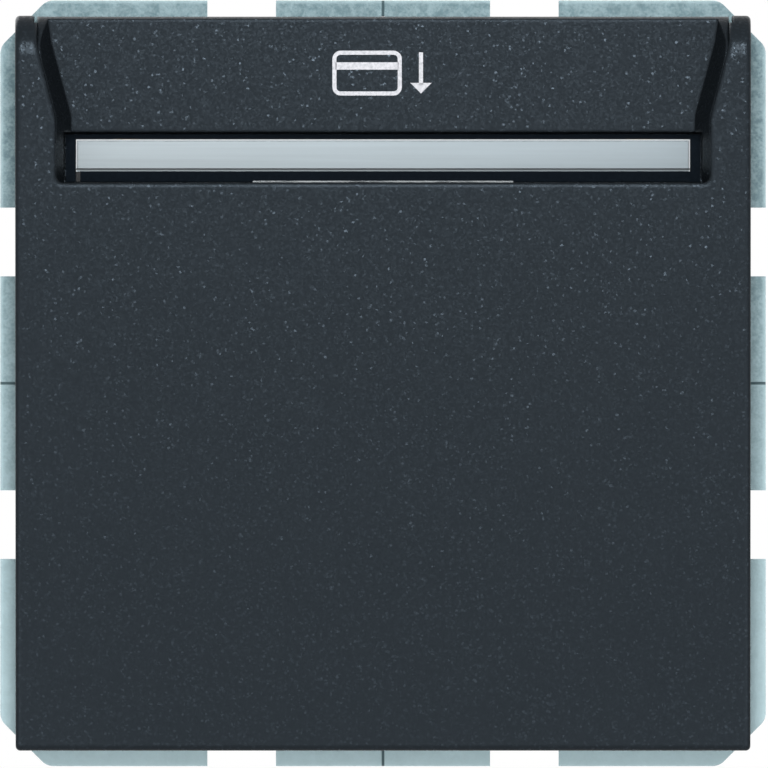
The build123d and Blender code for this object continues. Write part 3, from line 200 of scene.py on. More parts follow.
def metallic_lacquer(colours):
    """Anthracite metallic lacquer, sprayed on moulded ABS and matt when dry.

    It is full of fine aluminium flakes that lie almost flat. They turn it lighter where it
    faces a lamp and darker where it turns away, and about one flake in six lies open enough
    to sparkle. Real flakes are 0.03 mm wide and are drawn 0.17 mm wide, which the picture can
    just show. The sprayed film rounds every edge a little.
    """
    material, tree, shader, place = start_material(
        "anthracite_metallic_lacquer",
        Metallic=0.65,
        Specular_IOR_Level=0.15,
        Specular_Tint=(0.6, 0.6, 0.6, 1.0),
    )
    flakes = add_node(tree, "ShaderNodeTexVoronoi", {"Vector": place, "Scale": per_mm(0.17)})
    chance = add_node(tree, "ShaderNodeSeparateColor", {0: flakes.outputs["Color"]}).outputs
    is_bright = add_node(
        tree, "ShaderNodeMapRange", {0: chance[0], "From Min": 0.8, "From Max": 0.9}
    ).outputs[0]
    cloud = add_node(
        tree, "ShaderNodeTexNoise", {"Vector": place, "Scale": per_mm(7.0), "Detail": 2.0}
    ).outputs[0]
    shade = add_node(
        tree,
        "ShaderNodeMix",
        {0: cloud, 6: colours.lacquer_low, 7: colours.lacquer},
        data_type="RGBA",
    ).outputs[2]
    grain = add_node(
        tree, "ShaderNodeMapRange", {0: chance[1], "To Min": 0.0, "To Max": 0.15}
    ).outputs[0]
    mottled = add_node(
        tree, "ShaderNodeMix", {0: grain, 6: shade, 7: colours.flake}, data_type="RGBA"
    ).outputs[2]
    colour = add_node(
        tree, "ShaderNodeMix", {0: is_bright, 6: mottled, 7: colours.flake}, data_type="RGBA"
    ).outputs[2]
    tree.links.new(colour, shader.inputs["Base Color"])
    sheen = add_node(
        tree, "ShaderNodeMapRange", {0: is_bright, "To Min": 0.31, "To Max": 0.24}
    ).outputs[0]
    tree.links.new(sheen, shader.inputs["Roughness"])
    lie = add_node(
        tree, "ShaderNodeTexWhiteNoise", {"Vector": flakes.outputs["Position"]}
    ).outputs["Color"]
    centred = add_node(
        tree,
        "ShaderNodeVectorMath",
        {0: lie, 1: (0.5, 0.5, 0.5)},
        operation="SUBTRACT",
    ).outputs[0]
    lean = add_node(
        tree, "ShaderNodeMapRange", {0: is_bright, "To Min": 0.08, "To Max": 0.2}
    ).outputs[0]
    tilt = add_node(
        tree, "ShaderNodeVectorMath", {0: centred, "Scale": lean}, operation="SCALE"
    ).outputs[0]
    face = add_node(tree, "ShaderNodeBevel", {"Radius": 0.4 * MM}, samples=6).outputs[0]
    tilted = add_node(tree, "ShaderNodeVectorMath", {0: face, 1: tilt}, operation="ADD").outputs[0]
    normal = add_node(tree, "ShaderNodeVectorMath", {0: tilted}, operation="NORMALIZE").outputs[0]
    peel = add_node(
        tree, "ShaderNodeTexNoise", {"Vector": place, "Scale": per_mm(0.35), "Detail": 3.0}
    ).outputs[0]
    relief = add_node(
        tree, "ShaderNodeBump", {"Height": peel, "Distance": 0.004 * MM, "Normal": normal}
    ).outputs[0]
    tree.links.new(relief, shader.inputs["Normal"])
    return material


def zinc_plate(name, light, dark, roughness=0.45, metallic=0.9, painted_rim=None):
    """Steel with bright zinc plating, blue passivated: a soft, cloudy, bluish grey skin.

    The plating follows the rolled steel's grain, so it has patches of about 1 mm with finer
    crystals in them. On a sheet that is blanked to an outline, a painted highlight lightens a band
    along the cut edge, and painted light lightens the sheet towards its bottom. The painted rim
    gives the edge band's two distances from the middle and the colour of both. Painted shade
    darkens the four marks cut across the sheet's middle lines.
    """
    material, tree, shader, place = start_material(name, Metallic=metallic)
    patches = add_node(
        tree,
        "ShaderNodeTexNoise",
        {"Vector": place, "Scale": per_mm(0.9), "Detail": 4.0, "Roughness": 0.65, "Distortion": 0.6},
    ).outputs[0]
    crystals = add_node(
        tree, "ShaderNodeTexNoise", {"Vector": place, "Scale": per_mm(0.22), "Detail": 2.0}
    ).outputs[0]
    mixed = add_node(
        tree, "ShaderNodeMath", {0: crystals, 1: 0.9, 2: patches}, operation="MULTIPLY_ADD"
    ).outputs[0]
    share = add_node(
        tree, "ShaderNodeMapRange", {0: mixed, "From Min": 0.75, "From Max": 1.15}
    ).outputs[0]
    colour = add_node(
        tree, "ShaderNodeMix", {0: share, 6: dark, 7: light}, data_type="RGBA"
    ).outputs[2]
    if painted_rim:
        parts = add_node(tree, "ShaderNodeSeparateXYZ", {0: place}).outputs
        # Painted light: the sheet is painted lighter towards its bottom
        painted_bottom_light = add_node(
            tree,
            "ShaderNodeMapRange",
            {0: parts[2], "From Min": PAINTED_LIGHT_TOP, "From Max": -painted_rim[1], "To Max": 0.8},
        ).outputs[0]
        colour = add_node(
            tree, "ShaderNodeMix", {0: painted_bottom_light, 6: colour, 7: painted_rim[2]}, data_type="RGBA"
        ).outputs[2]
        out = [add_node(tree, "ShaderNodeMath", {0: parts[i]}, operation="ABSOLUTE") for i in (0, 2)]
        reach = add_node(
            tree,
            "ShaderNodeMath",
            {0: out[0].outputs[0], 1: out[1].outputs[0]},
            operation="MAXIMUM",
        ).outputs[0]
        # Painted highlight: a lighter band along the cut edge
        rim_highlight = add_node(
            tree,
            "ShaderNodeMapRange",
            {0: reach, "From Min": painted_rim[0], "From Max": painted_rim[1], "To Max": 0.7},
        ).outputs[0]
        colour = add_node(
            tree, "ShaderNodeMix", {0: rim_highlight, 6: colour, 7: painted_rim[2]}, data_type="RGBA"
        ).outputs[2]
        beside = add_node(
            tree,
            "ShaderNodeMath",
            {0: out[0].outputs[0], 1: out[1].outputs[0]},
            operation="MINIMUM",
        ).outputs[0]
        # Painted shade: the marks across the middle lines are painted darker
        mark_shade = add_node(
            tree,
            "ShaderNodeMapRange",
            {
                0: beside,
                "From Min": MARK_SHADE[0],
                "From Max": MARK_SHADE[1],
                "To Min": 0.8,
                "To Max": 0.0,
            },
        ).outputs[0]
        colour = add_node(
            tree, "ShaderNodeMix", {0: mark_shade, 6: colour, 7: linear("2f4a50")}, data_type="RGBA"
        ).outputs[2]
    tree.links.new(colour, shader.inputs["Base Color"])
    gloss = add_node(
        tree,
        "ShaderNodeMapRange",
        {
            0: crystals,
            "From Min": 0.3,
            "From Max": 0.7,
            "To Min": roughness - 0.07,
            "To Max": roughness + 0.07,
        },
    ).outputs[0]
    tree.links.new(gloss, shader.inputs["Roughness"])
    relief = add_node(tree, "ShaderNodeBump", {"Height": mixed, "Distance": 0.01 * MM}).outputs[0]
    tree.links.new(relief, shader.inputs["Normal"])
    return material


def rolled_metal(name, colour, worn, roughness=0.3):
    """Cold-rolled or drawn metal: fine straight lines along it, and slightly duller patches.

    The lines are 0.02 mm apart on the real metal and are drawn 0.08 mm apart.
    """
    material, tree, shader, place = start_material(name, Metallic=1.0)
    mapped = add_node(tree, "ShaderNodeMapping", {"Vector": place, "Scale": DRAWN_OUT}).outputs[0]
    lines = add_node(
        tree, "ShaderNodeTexNoise", {"Vector": mapped, "Scale": per_mm(0.08), "Detail": 2.0}
    ).outputs[0]
    patches = add_node(
        tree, "ShaderNodeTexNoise", {"Vector": place, "Scale": per_mm(1.6), "Detail": 3.0}
    ).outputs[0]
    dull = add_node(
        tree, "ShaderNodeMapRange", {0: patches, "From Min": 0.35, "From Max": 0.7}
    ).outputs[0]
    shade = add_node(
        tree, "ShaderNodeMix", {0: dull, 6: colour, 7: worn}, data_type="RGBA"
    ).outputs[2]
    tree.links.new(shade, shader.inputs["Base Color"])
    gloss = add_node(
        tree,
        "ShaderNodeMapRange",
        {
            0: lines,
            "From Min": 0.3,
            "From Max": 0.7,
            "To Min": roughness - 0.08,
            "To Max": roughness + 0.1,
        },
    ).outputs[0]
    tree.links.new(gloss, shader.inputs["Roughness"])
    relief = add_node(tree, "ShaderNodeBump", {"Height": lines, "Distance": 0.004 * MM}).outputs[0]
    tree.links.new(relief, shader.inputs["Normal"])
    return material


def moulded(name, colour, roughness=0.5, **values):
    """Plastic from a spark-eroded mould, or a skin as fine: even in colour and finely grained.

    The grain is 0.03 to 0.05 mm on a real part and is drawn 0.18 mm wide, so that it shows.
    The colour is up to an eighth darker in patches of 5 mm.
    """
    material, tree, shader, place = start_material(name, **values)
    dull = (*(part * 0.88 for part in colour[:3]), 1.0)
    patches = add_node(
        tree, "ShaderNodeTexNoise", {"Vector": place, "Scale": per_mm(5.0), "Detail": 3.0}
    ).outputs[0]
    share = add_node(
        tree, "ShaderNodeMapRange", {0: patches, "From Min": 0.3, "From Max": 0.7}
    ).outputs[0]
    shaded = add_node(
        tree, "ShaderNodeMix", {0: share, 6: dull, 7: tuple(colour)}, data_type="RGBA"
    ).outputs[2]
    tree.links.new(shaded, shader.inputs["Base Color"])
    fine = add_node(
        tree, "ShaderNodeTexNoise", {"Vector": place, "Scale": per_mm(0.18), "Detail": 2.0}
    ).outputs[0]
    gloss = add_node(
        tree,
        "ShaderNodeMapRange",
        {
            0: fine,
            "From Min": 0.3,
            "From Max": 0.7,
            "To Min": roughness - 0.06,
            "To Max": roughness + 0.06,
        },
    ).outputs[0]
    tree.links.new(gloss, shader.inputs["Roughness"])
    relief = add_node(tree, "ShaderNodeBump", {"Height": fine, "Distance": 0.006 * MM}).outputs[0]
    tree.links.new(relief, shader.inputs["Normal"])
    return material


def light_guide(colours, low, high):
    """Satin polycarbonate light guide, moulded clear over a silvered back: dull silver.

    Its bevelled edges are painted with a highlight and a glow, which look almost white. Painted
    shading makes it a little darker towards the right, fine flow lines run along it, and painted
    shade darkens the groove near its lower edge and the leg under it.
    """
    material, tree, shader, place = start_material(
        "satin_polycarbonate",
        Roughness=0.3,
        IOR=1.58,
        Specular_IOR_Level=0.12,
        Emission_Strength=0.55,
    )
    parts = add_node(tree, "ShaderNodeSeparateXYZ", {0: place}).outputs
    # Painted shading: darker from the left end towards the right
    along = add_node(
        tree, "ShaderNodeMapRange", {0: parts[0], "From Min": low[0], "From Max": high[0]}
    ).outputs[0]
    painted_shade_fade = add_node(
        tree,
        "ShaderNodeMix",
        {0: along, 6: colours.guide_left, 7: colours.guide_right},
        data_type="RGBA",
    ).outputs[2]
    mapped = add_node(tree, "ShaderNodeMapping", {"Vector": place, "Scale": DRAWN_OUT}).outputs[0]
    lines = add_node(
        tree, "ShaderNodeTexNoise", {"Vector": mapped, "Scale": per_mm(0.3), "Detail": 2.0}
    ).outputs[0]
    streak = add_node(
        tree,
        "ShaderNodeMapRange",
        {0: lines, "From Min": 0.3, "From Max": 0.75, "To Max": 0.25},
    ).outputs[0]
    streaked = add_node(
        tree, "ShaderNodeMix", {0: streak, 6: painted_shade_fade, 7: colours.guide_low}, data_type="RGBA"
    ).outputs[2]
    side = add_node(tree, "ShaderNodeMath", {0: parts[0]}, operation="ABSOLUTE").outputs[0]
    # Painted highlight: the bevelled side ends and top edge are painted near white
    edge_highlights = [
        add_node(
            tree, "ShaderNodeMapRange", {0: value, "From Min": edge - BAR_BEVEL, "From Max": edge}
        ).outputs[0]
        for value, edge in ((side, high[0]), (parts[2], high[2]))
    ]
    glow = add_node(
        tree, "ShaderNodeMath", {0: edge_highlights[0], 1: edge_highlights[1]}, operation="MAXIMUM"
    ).outputs[0]
    edge_highlighted = add_node(
        tree, "ShaderNodeMix", {0: glow, 6: streaked, 7: colours.guide_edge}, data_type="RGBA"
    ).outputs[2]
    # Painted shade: the leg below the groove is painted dark, and the groove darker than the face
    leg_shade = add_node(
        tree,
        "ShaderNodeMapRange",
        {0: parts[2], "From Min": low[2], "From Max": low[2] - BAR_LEG_BLEND},
    ).outputs[0]
    offset = add_node(
        tree, "ShaderNodeMath", {0: parts[2], 1: low[2] + BAR_GROOVE_PLACE}, operation="SUBTRACT"
    ).outputs[0]
    distance = add_node(tree, "ShaderNodeMath", {0: offset}, operation="ABSOLUTE").outputs[0]
    groove = add_node(
        tree,
        "ShaderNodeMapRange",
        {
            0: distance,
            "From Min": BAR_GROOVE_SHADE[0],
            "From Max": BAR_GROOVE_SHADE[1],
            "To Min": 0.7,
            "To Max": 0.0,
        },
    ).outputs[0]
    shaded = add_node(tree, "ShaderNodeMath", {0: leg_shade, 1: groove}, operation="MAXIMUM").outputs[0]
    colour = add_node(
        tree, "ShaderNodeMix", {0: shaded, 6: edge_highlighted, 7: colours.guide_leg}, data_type="RGBA"
    ).outputs[2]
    tree.links.new(colour, shader.inputs["Base Color"])
    # Painted glow on the bevels, left out where the painted shade lies
    painted_glow_share = add_node(
        tree, "ShaderNodeMath", {0: glow, 1: shaded}, operation="SUBTRACT", use_clamp=True
    ).outputs[0]
    painted_edge_glow = add_node(
        tree,
        "ShaderNodeMix",
        {0: painted_glow_share, 6: (0, 0, 0, 1), 7: colours.guide_edge},
        data_type="RGBA",
    ).outputs[2]
    tree.links.new(painted_edge_glow, shader.inputs["Emission Color"])
    relief = add_node(tree, "ShaderNodeBump", {"Height": lines, "Distance": 0.004 * MM}).outputs[0]
    tree.links.new(relief, shader.inputs["Normal"])
    return material


def board_laminate(colours):
    """Glass-fibre laminate with green solder mask: the weave shows faintly through the mask.

    The weave's threads are 0.4 mm apart.
    """
    material, tree, shader, place = start_material(
        "glass_fibre_laminate", Roughness=0.35, Coat_Weight=0.4
    )
    waves = [
        add_node(
            tree,
            "ShaderNodeTexWave",
            {"Vector": place, "Scale": per_mm(0.4) / 10, "Distortion": 1.0},
            bands_direction=direction,
        ).outputs["Fac"]
        for direction in ("X", "Z")
    ]
    weave = add_node(
        tree, "ShaderNodeMath", {0: waves[0], 1: waves[1]}, operation="MULTIPLY"
    ).outputs[0]
    colour = add_node(
        tree, "ShaderNodeMix", {0: weave, 6: colours.mask_low, 7: colours.mask}, data_type="RGBA"
    ).outputs[2]
    tree.links.new(colour, shader.inputs["Base Color"])
    relief = add_node(tree, "ShaderNodeBump", {"Height": weave, "Distance": 0.008 * MM}).outputs[0]
    tree.links.new(relief, shader.inputs["Normal"])
    return material


def printing_ink(colours):
    """Pad-printed ink, matt and almost white, which lies a little thin at places."""
    material, tree, shader, place = start_material("pad_printed_ink", Roughness=0.6)
    thin = add_node(
        tree, "ShaderNodeTexNoise", {"Vector": place, "Scale": per_mm(0.25), "Detail": 3.0}
    ).outputs[0]
    share = add_node(
        tree, "ShaderNodeMapRange", {0: thin, "From Min": 0.25, "From Max": 0.6}
    ).outputs[0]
    colour = add_node(
        tree, "ShaderNodeMix", {0: share, 6: colours.ink_low, 7: colours.ink}, data_type="RGBA"
    ).outputs[2]
    tree.links.new(colour, shader.inputs["Base Color"])
    relief = add_node(tree, "ShaderNodeBump", {"Height": thin, "Distance": 0.003 * MM}).outputs[0]
    tree.links.new(relief, shader.inputs["Normal"])
    return material


def dress(material, *names):
    """Gives a material to CAD nodes."""
    for name in names:
        mesh = NODES[name].data
        if not mesh.materials:
            mesh.materials.append(material)
        for i in range(len(mesh.materials)):
            mesh.materials[i] = material


# Surfaces


def join_sheets(sheets):
    """The points and four-sided faces of several sheets, each rows by columns by 3.

    A sheet's faces lie between neighbouring rows and columns, so their corners are the four
    index numbers of each cell.
    """
    points, faces, first = [], [], 0
    for sheet in sheets:
        rows, columns = sheet.shape[:2]
        numbers = first + np.arange(rows * columns).reshape(rows, columns)
        cells = [numbers[:-1, :-1], numbers[:-1, 1:], numbers[1:, 1:], numbers[1:, :-1]]
        faces.append(np.stack(cells, axis=-1).reshape(-1, 4))
        points.append(sheet.reshape(-1, 3))
        first += rows * columns
    return np.concatenate(points), np.concatenate(faces)


def weld(mesh, dissolve=False, outward=True):
    """Merges points on one another, and may clear empty faces and turn all faces outward."""
    made = bmesh.new()
    made.from_mesh(mesh)
    bmesh.ops.remove_doubles(made, verts=made.verts, dist=SAME_POINT)
    if dissolve:
        bmesh.ops.dissolve_degenerate(made, edges=made.edges, dist=SAME_POINT)
    if outward:
        bmesh.ops.recalc_face_normals(made, faces=made.faces)
    made.to_mesh(mesh)
    made.free()


def make_piece(name, sheets, material, body, replaced=(), smooth=35.0):
    """Makes one closed mesh of sheets whose borders meet, and lets it ride on a body."""
    points, faces = join_sheets(sheets)
    mesh = bpy.data.meshes.new(name)
    mesh.from_pydata(points.tolist(), [], faces.tolist())
    weld(mesh, dissolve=True)
    mesh.shade_smooth()
    mesh.set_sharp_from_angle(angle=math.radians(smooth))
    return finish_piece(name, mesh, material, body, replaced)


def finish_piece(name, mesh, material, body, replaced=()):
    """Puts a finished mesh in the scene, on its body if it has one, in its material slot."""
    piece = bpy.data.objects.new(name, mesh)
    bpy.context.scene.collection.objects.link(piece)
    mesh.materials.append(material)
    if body:
        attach(piece, body)
    if replaced:
        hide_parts(*replaced)
    return piece


def flexing_copy(name, material, body=None):
    """A merged copy of a CAD spring in the spring's place, free to change its shape."""
    mesh = NODES[name].data.copy()
    mesh.materials.clear()
    weld(mesh, outward=False)
    return finish_piece(name + "_flexing", mesh, material, body, (name,))


def screw_rim(radius, slot_half, count):
    """Places across a slotted head: even steps of angle, with both slot edges met twice."""
    across = radius * np.cos(np.linspace(0, np.pi, count))
    across = across[np.abs(np.abs(across) - slot_half) > 0.15 * slot_half]
    edges = [slot_half, slot_half, -slot_half, -slot_half]
    return np.sort(np.concatenate([across, edges]))[::-1]


def screw_sheets(head, shank, thread, slot, count):
    """A slotted screw along +Z with its seat at Z = 0 and its shank below.

    The head's top is a dome, height less radius squared, cut down to the slot's floor between
    the slot's edges. Its rim goes down as a loop of the same points round the head, in under
    it and along the shank, where the radius is the core's plus the thread's depth times a
    tent, which rises and falls once as height over pitch plus angle over a turn goes up by 1.
    """
    head_radius, head_height, dome = head
    shank_radius, length = shank
    pitch, depth = thread
    slot_half, slot_floor = slot
    across = screw_rim(head_radius, slot_half, count)
    reach = np.sqrt(np.maximum(head_radius**2 - across**2, 0))
    spans = np.linspace(-1, 1, HEAD_POINTS)
    x = np.repeat(across[:, None], len(spans), axis=1)
    y = reach[:, None] * spans
    top = head_height - dome * (x**2 + y**2) / head_radius**2
    steps = np.arange(len(across))
    from_step = np.flatnonzero(np.isclose(across, slot_half))[1]
    to_step = np.flatnonzero(np.isclose(across, -slot_half))[0]
    in_slot = (steps >= from_step) & (steps <= to_step)
    top = np.where(in_slot[:, None], slot_floor, top)
    face = np.stack([x, y, top], axis=-1)
    loop = np.concatenate([face[:, -1], face[::-1, 0], face[:1, -1]])
    turn = np.unwrap(np.arctan2(loop[:, 1], loop[:, 0]))
    turn = turn - turn[0]
    ways = loop[:, :2] / head_radius
    chamfer = HEAD_CHAMFER * head_radius
    under = ((head_radius, chamfer), (head_radius - chamfer, 0.0), (shank_radius, 0.0))
    rings = [np.column_stack([ways * radius, np.full(len(ways), height)]) for radius, height in under]
    heights = -np.linspace(pitch * THREAD_START, length, int(length / pitch * TURN_RINGS))
    phase = heights[:, None] / pitch + turn[None, :] / (2 * np.pi)
    tent = 1 - np.abs(2 * (phase - np.floor(phase)) - 1)
    run_out = np.clip((length + heights) / (THREAD_RUN_OUT * pitch), 0, 1)
    run_in = np.clip(-heights / pitch - THREAD_START, 0, 1)
    radii = shank_radius - depth + depth * tent * (run_out * run_in)[:, None]
    levels = np.repeat(heights[:, None], len(ways), axis=1)
    shaft = np.stack([radii * ways[:, 0], radii * ways[:, 1], levels], axis=-1)
    end = np.full(len(ways), -length - TIP_LENGTH * shank_radius)
    tip = np.column_stack([ways * TIP_RADIUS * shank_radius, end])
    pole = np.column_stack([ways * 0, end])
    down = np.concatenate([np.stack([loop, *rings]), shaft, tip[None], pole[None]])
    return [face, down]


def placed(sheets, origin, across, along):
    """Sheets turned so that their +X lies along across and +Z along along, then moved."""
    across, along = Vector(across).normalized(), Vector(along).normalized()
    axes = np.array([across, along.cross(across), along])
    return [sheet @ axes + np.array(origin) for sheet in sheets]


def ribbon(path, width, low, high):
    """A flat band of one width along a closed path of X, Z points, between two heights.

    Its section is a rectangle, whose corners lie half the width to each side of the path,
    along the middle of the two neighbouring directions' normals.
    """
    ahead = np.roll(path, -1, axis=0) - path
    ahead /= np.linalg.norm(ahead, axis=1)[:, None]
    behind = np.roll(ahead, 1, axis=0)
    normals = np.column_stack([-(ahead + behind)[:, 1], (ahead + behind)[:, 0]])
    normals /= np.linalg.norm(normals, axis=1)[:, None]
    lean = np.maximum((normals * np.column_stack([-ahead[:, 1], ahead[:, 0]])).sum(axis=1), 0.5)
    offset = normals * (width / 2 / lean)[:, None]
    outer, inner = path + offset, path - offset
    corners = ((outer, low), (outer, high), (inner, high), (inner, low), (outer, low))
    sheet = np.stack([np.column_stack([p, np.full(len(path), h)]) for p, h in corners])
    return np.concatenate([sheet, sheet[:, :1]], axis=1)


def rounded_rectangle(half_width, half_height, radius, steps=7):
    """A closed path of X, Z points: four quarter circles joined by straight runs."""
    angles = np.linspace(0, np.pi / 2, steps)
    corners = []
    for quarter, (sx, sz) in enumerate(((1, 1), (-1, 1), (-1, -1), (1, -1))):
        turned = angles + quarter * np.pi / 2
        middle = np.array([sx * (half_width - radius), sz * (half_height - radius)])
        corners.append(middle + radius * np.column_stack([np.cos(turned), np.sin(turned)]))
    return np.concatenate(corners)


def prism(outline, low, high):
    """A convex outline of X, Z points made a closed plate: rim and two fans to the middle."""
    loop = np.concatenate([outline, outline[:1]])
    middle = np.repeat(outline.mean(axis=0)[None], len(loop), axis=0)
    rows = [(middle, low), (loop, low), (loop, high), (middle, high)]
    return np.stack([np.column_stack([p, np.full(len(loop), h)]) for p, h in rows])


# Settings


def colour_setting(name, description, hex_colour):
    """A colour that a user can change, with its usual value as six hex digits."""
    return FloatVectorProperty(
        name=name,
        description=description,
        subtype="COLOR",
        size=4,
        min=0.0,
        max=1.0,
        default=linear(hex_colour),
    )


def length_setting(name, description, usual):
    """A length that a user can change."""
    return FloatProperty(name=name, description=description, unit="LENGTH", default=usual)


class SwitchColours(bpy.types.PropertyGroup):
    """Colours of the switch that a user would change."""

    lacquer: colour_setting("Lacquer", "Front's lacquer", "242a2f")
    lacquer_low: colour_setting("Lacquer, darker", "Lacquer in its darker patches", "22282d")
    flake: colour_setting("Flakes", "Aluminium flakes in the lacquer", "2b3238")
    zinc: colour_setting("Zinc", "Zinc plating of the support ring", "9fb7bd")
    zinc_low: colour_setting("Zinc, duller", "Zinc plating in duller patches", "708a91")
    # Painted highlight along the ring's cut edge, and painted light towards its bottom
    zinc_rim: colour_setting("Zinc, rim", "Zinc along the ring's cut edge", "b9d0d5")
    # The light bar's ends: painted shading makes the right end darker than the left
    guide_left: colour_setting("Light bar, left", "Light bar's left end", "cedbe1")
    guide_right: colour_setting("Light bar, right", "Light bar's right end", "bccbd3")
    guide_low: colour_setting("Light bar, lines", "Light bar's darker flow lines", "a9b5bb")
    # Painted highlight and glow on the light bar's bevelled edges
    guide_edge: colour_setting("Light bar, edges", "Light bar's bevelled edges", "f4f7f9")
    # Painted shade on the light bar's leg below its groove
    guide_leg: colour_setting("Light bar, leg", "Light bar's leg below its groove", "1b1f23")
    ink: colour_setting("Print", "Ink of the card sign", "dfe0e6")
    ink_low: colour_setting("Print, thin", "Ink where it lies thin", "b9bcc2")
    housing: colour_setting("Insert", "Plastic of the insert", "8d9296")
    mask: colour_setting("Board", "Solder mask of the boards", "1f5a38")
    mask_low: colour_setting("Board, darker", "Solder mask between the threads", "184a2e")


class SwitchSizes(bpy.types.PropertyGroup):
    """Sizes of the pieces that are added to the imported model."""

    sign_width: length_setting("Sign width", "Printed card's width", 5.6 * MM)
    sign_height: length_setting("Sign height", "Printed card's height", 3.5 * MM)
    sign_place: length_setting("Sign place", "Height of the sign's middle", 26.6 * MM)
    stroke: length_setting("Stroke", "Width of the printed lines", 0.35 * MM)
    ink_thick: length_setting("Ink", "Thickness of the ink", 0.02 * MM)
    thread_pitch: length_setting("Thread pitch", "Pitch of the screws' thread", 0.5 * MM)
    thread_depth: length_setting("Thread depth", "Depth of the screws' thread", 0.28 * MM)
    round_steps: IntProperty(
        name="Steps round", description="Steps round a screw's head", default=34, min=12, max=96
    )
    digit_height: length_setting("Digit height", "Height of the terminal numbers", 2.4 * MM)


# Operators


class KEYCARD_OT_lacquer(bpy.types.Operator):
    """Lacquers the cover and the card holder"""

    bl_idname = "keycard.lacquer"
    bl_label = "Lacquered front"

    def execute(self, context):
        dress(metallic_lacquer(context.scene.switch_colours), "front_cover", "card_holder")
        return {"FINISHED"}


class KEYCARD_OT_light_bar(bpy.types.Operator):
    """Dresses the light bar and its dark carrier"""

    bl_idname = "keycard.light_bar"
    bl_label = "Light bar"

    def execute(self, context):
        low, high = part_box("light_bar")
        groove = (low[0], low[1], high[2] - BAR_HEIGHT)
        dress(light_guide(context.scene.switch_colours, groove, high), "light_bar")
        # Black ABS, moulded matt: as dark as the slot round it, with a faint bluish shine
        carrier = moulded(
            "black_abs",
            linear("070a10"),
            roughness=0.5,
            Specular_IOR_Level=0.08,
            Specular_Tint=(0.5, 0.75, 1.0, 1.0),
        )
        dress(carrier, "light_bar_frame")
        return {"FINISHED"}


class KEYCARD_OT_sign(bpy.types.Operator):
    """Prints a sign of a card and an arrow on the label panel"""

    bl_idname = "keycard.sign"
    bl_label = "Printed card sign"

    def execute(self, context):
        sizes, colours = context.scene.switch_sizes, context.scene.switch_colours
        panel = NODES["card_holder"]
        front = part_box("card_holder")[0][1] - MM
        hits = []
        for height in (sizes.sign_place - sizes.sign_height, sizes.sign_place + sizes.sign_height):
            hit, place, _, _ = panel.ray_cast(Vector((0, front, height)), Vector((0, 1, 0)))
            if not hit:
                raise RuntimeError("The label panel isn't where the sign goes")
            hits.append(place)
        up = (hits[1] - hits[0]).normalized()
        out = Vector((1, 0, 0)).cross(up)
        middle = (hits[0] + hits[1]) / 2
        half_width, half_height = sizes.sign_width / 2, sizes.sign_height / 2
        stroke, ink = sizes.stroke, sizes.ink_thick
        outline = rounded_rectangle(half_width, half_height, CARD_CORNER * stroke)
        card = ribbon(outline, stroke, -ink, ink)
        square = np.array([(-1, -1), (1, -1), (1, 1), (-1, 1)])
        stripe = square * (half_width - stroke / 4, STRIPE_HALF * stroke)
        stripe = stripe + (0, STRIPE_PLACE * half_height)
        # The arrow's head stands its own reach to the right of the card, level with its foot
        reach = ARROW_REACH * stroke
        shift = np.array([half_width + 2 * reach, reach - half_height])
        down, up_end = STEM_ENDS
        stem = np.array([(-1, down), (1, down), (1, up_end), (-1, up_end)])
        stem = stem * (stroke / 2, half_height / 2) + shift
        head = np.array([(-1, 0), (0, -1), (1, 0)]) * reach + shift
        # Card and arrow together are centred on the panel
        middle = np.array(middle - Vector((1.5 * reach, 0, 0)))
        axes = np.array([Vector((1, 0, 0)), up, out])
        material = printing_ink(colours)
        plates = [prism(outline, -ink, ink) for outline in (stripe, stem, head)]
        names = ("card_sign", "card_sign_stripe", "arrow_stem", "arrow_head")
        for name, sheet in zip(names, (card, *plates)):
            turned = [sheet @ axes + middle]
            make_piece(name, turned, material, "centre_plate")
        return {"FINISHED"}


class KEYCARD_OT_lever(bpy.types.Operator):
    """Dresses the leaf spring, the card lever, its pin and its spring"""

    bl_idname = "keycard.lever"
    bl_label = "Leaf spring and card lever"

    def execute(self, context):
        # Spring steel, hardened and cold-rolled bright: pale grey with fine lines along it
        steel = rolled_metal("rolled_spring_steel", linear("b4b8ba"), linear("8f9497"))
        dress(steel, "card_spring", "lever_spring")
        spring = flexing_copy("lever_spring", steel)
        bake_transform(spring)
        # Black acetal, moulded so that it slides: almost black, with a waxy shine
        dress(moulded("black_acetal", linear("17191c"), roughness=0.35), "card_lever")
        # Steel rod, drawn and ground: the lightest and shiniest of the steels
        rod = rolled_metal("ground_steel", linear("c3c6c8"), linear("a2a6a8"), roughness=0.2)
        dress(rod, "lever_pin")
        return {"FINISHED"}


class KEYCARD_OT_ring(bpy.types.Operator):
    """Plates the support ring, and dresses the rivets and clips on it"""

    bl_idname = "keycard.ring"
    bl_label = "Support ring"

    def execute(self, context):
        colours = context.scene.switch_colours
        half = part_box("support_ring")[1][0]
        # The rim's colour is a painted highlight along the cut edge and painted light towards the
        # bottom
        painted_rim = (half - 0.35 * MM, half - 0.05 * MM, colours.zinc_rim)
        # Sheet steel, blanked, then zinc-plated and passivated blue: matt and cloudy
        sheet = zinc_plate(
            "zinc_plated_sheet_steel", colours.zinc, colours.zinc_low, 0.6, metallic=0.6, painted_rim=painted_rim
        )
        dress(sheet, "support_ring")
        # Brass wire, drawn and headed: a warm yellow that stands out from the zinc
        brass = rolled_metal("drawn_brass", linear("c9a55c"), linear("a9863f"), roughness=0.28)
        dress(brass, "ring_rivets")
        # Spring steel strip, rolled and tempered: greyer and duller than the leaf spring
        strip = rolled_metal("clip_spring_steel", linear("a9adaf"), linear("83888b"), roughness=0.32)
        dress(strip, "peg_clips")
        return {"FINISHED"}


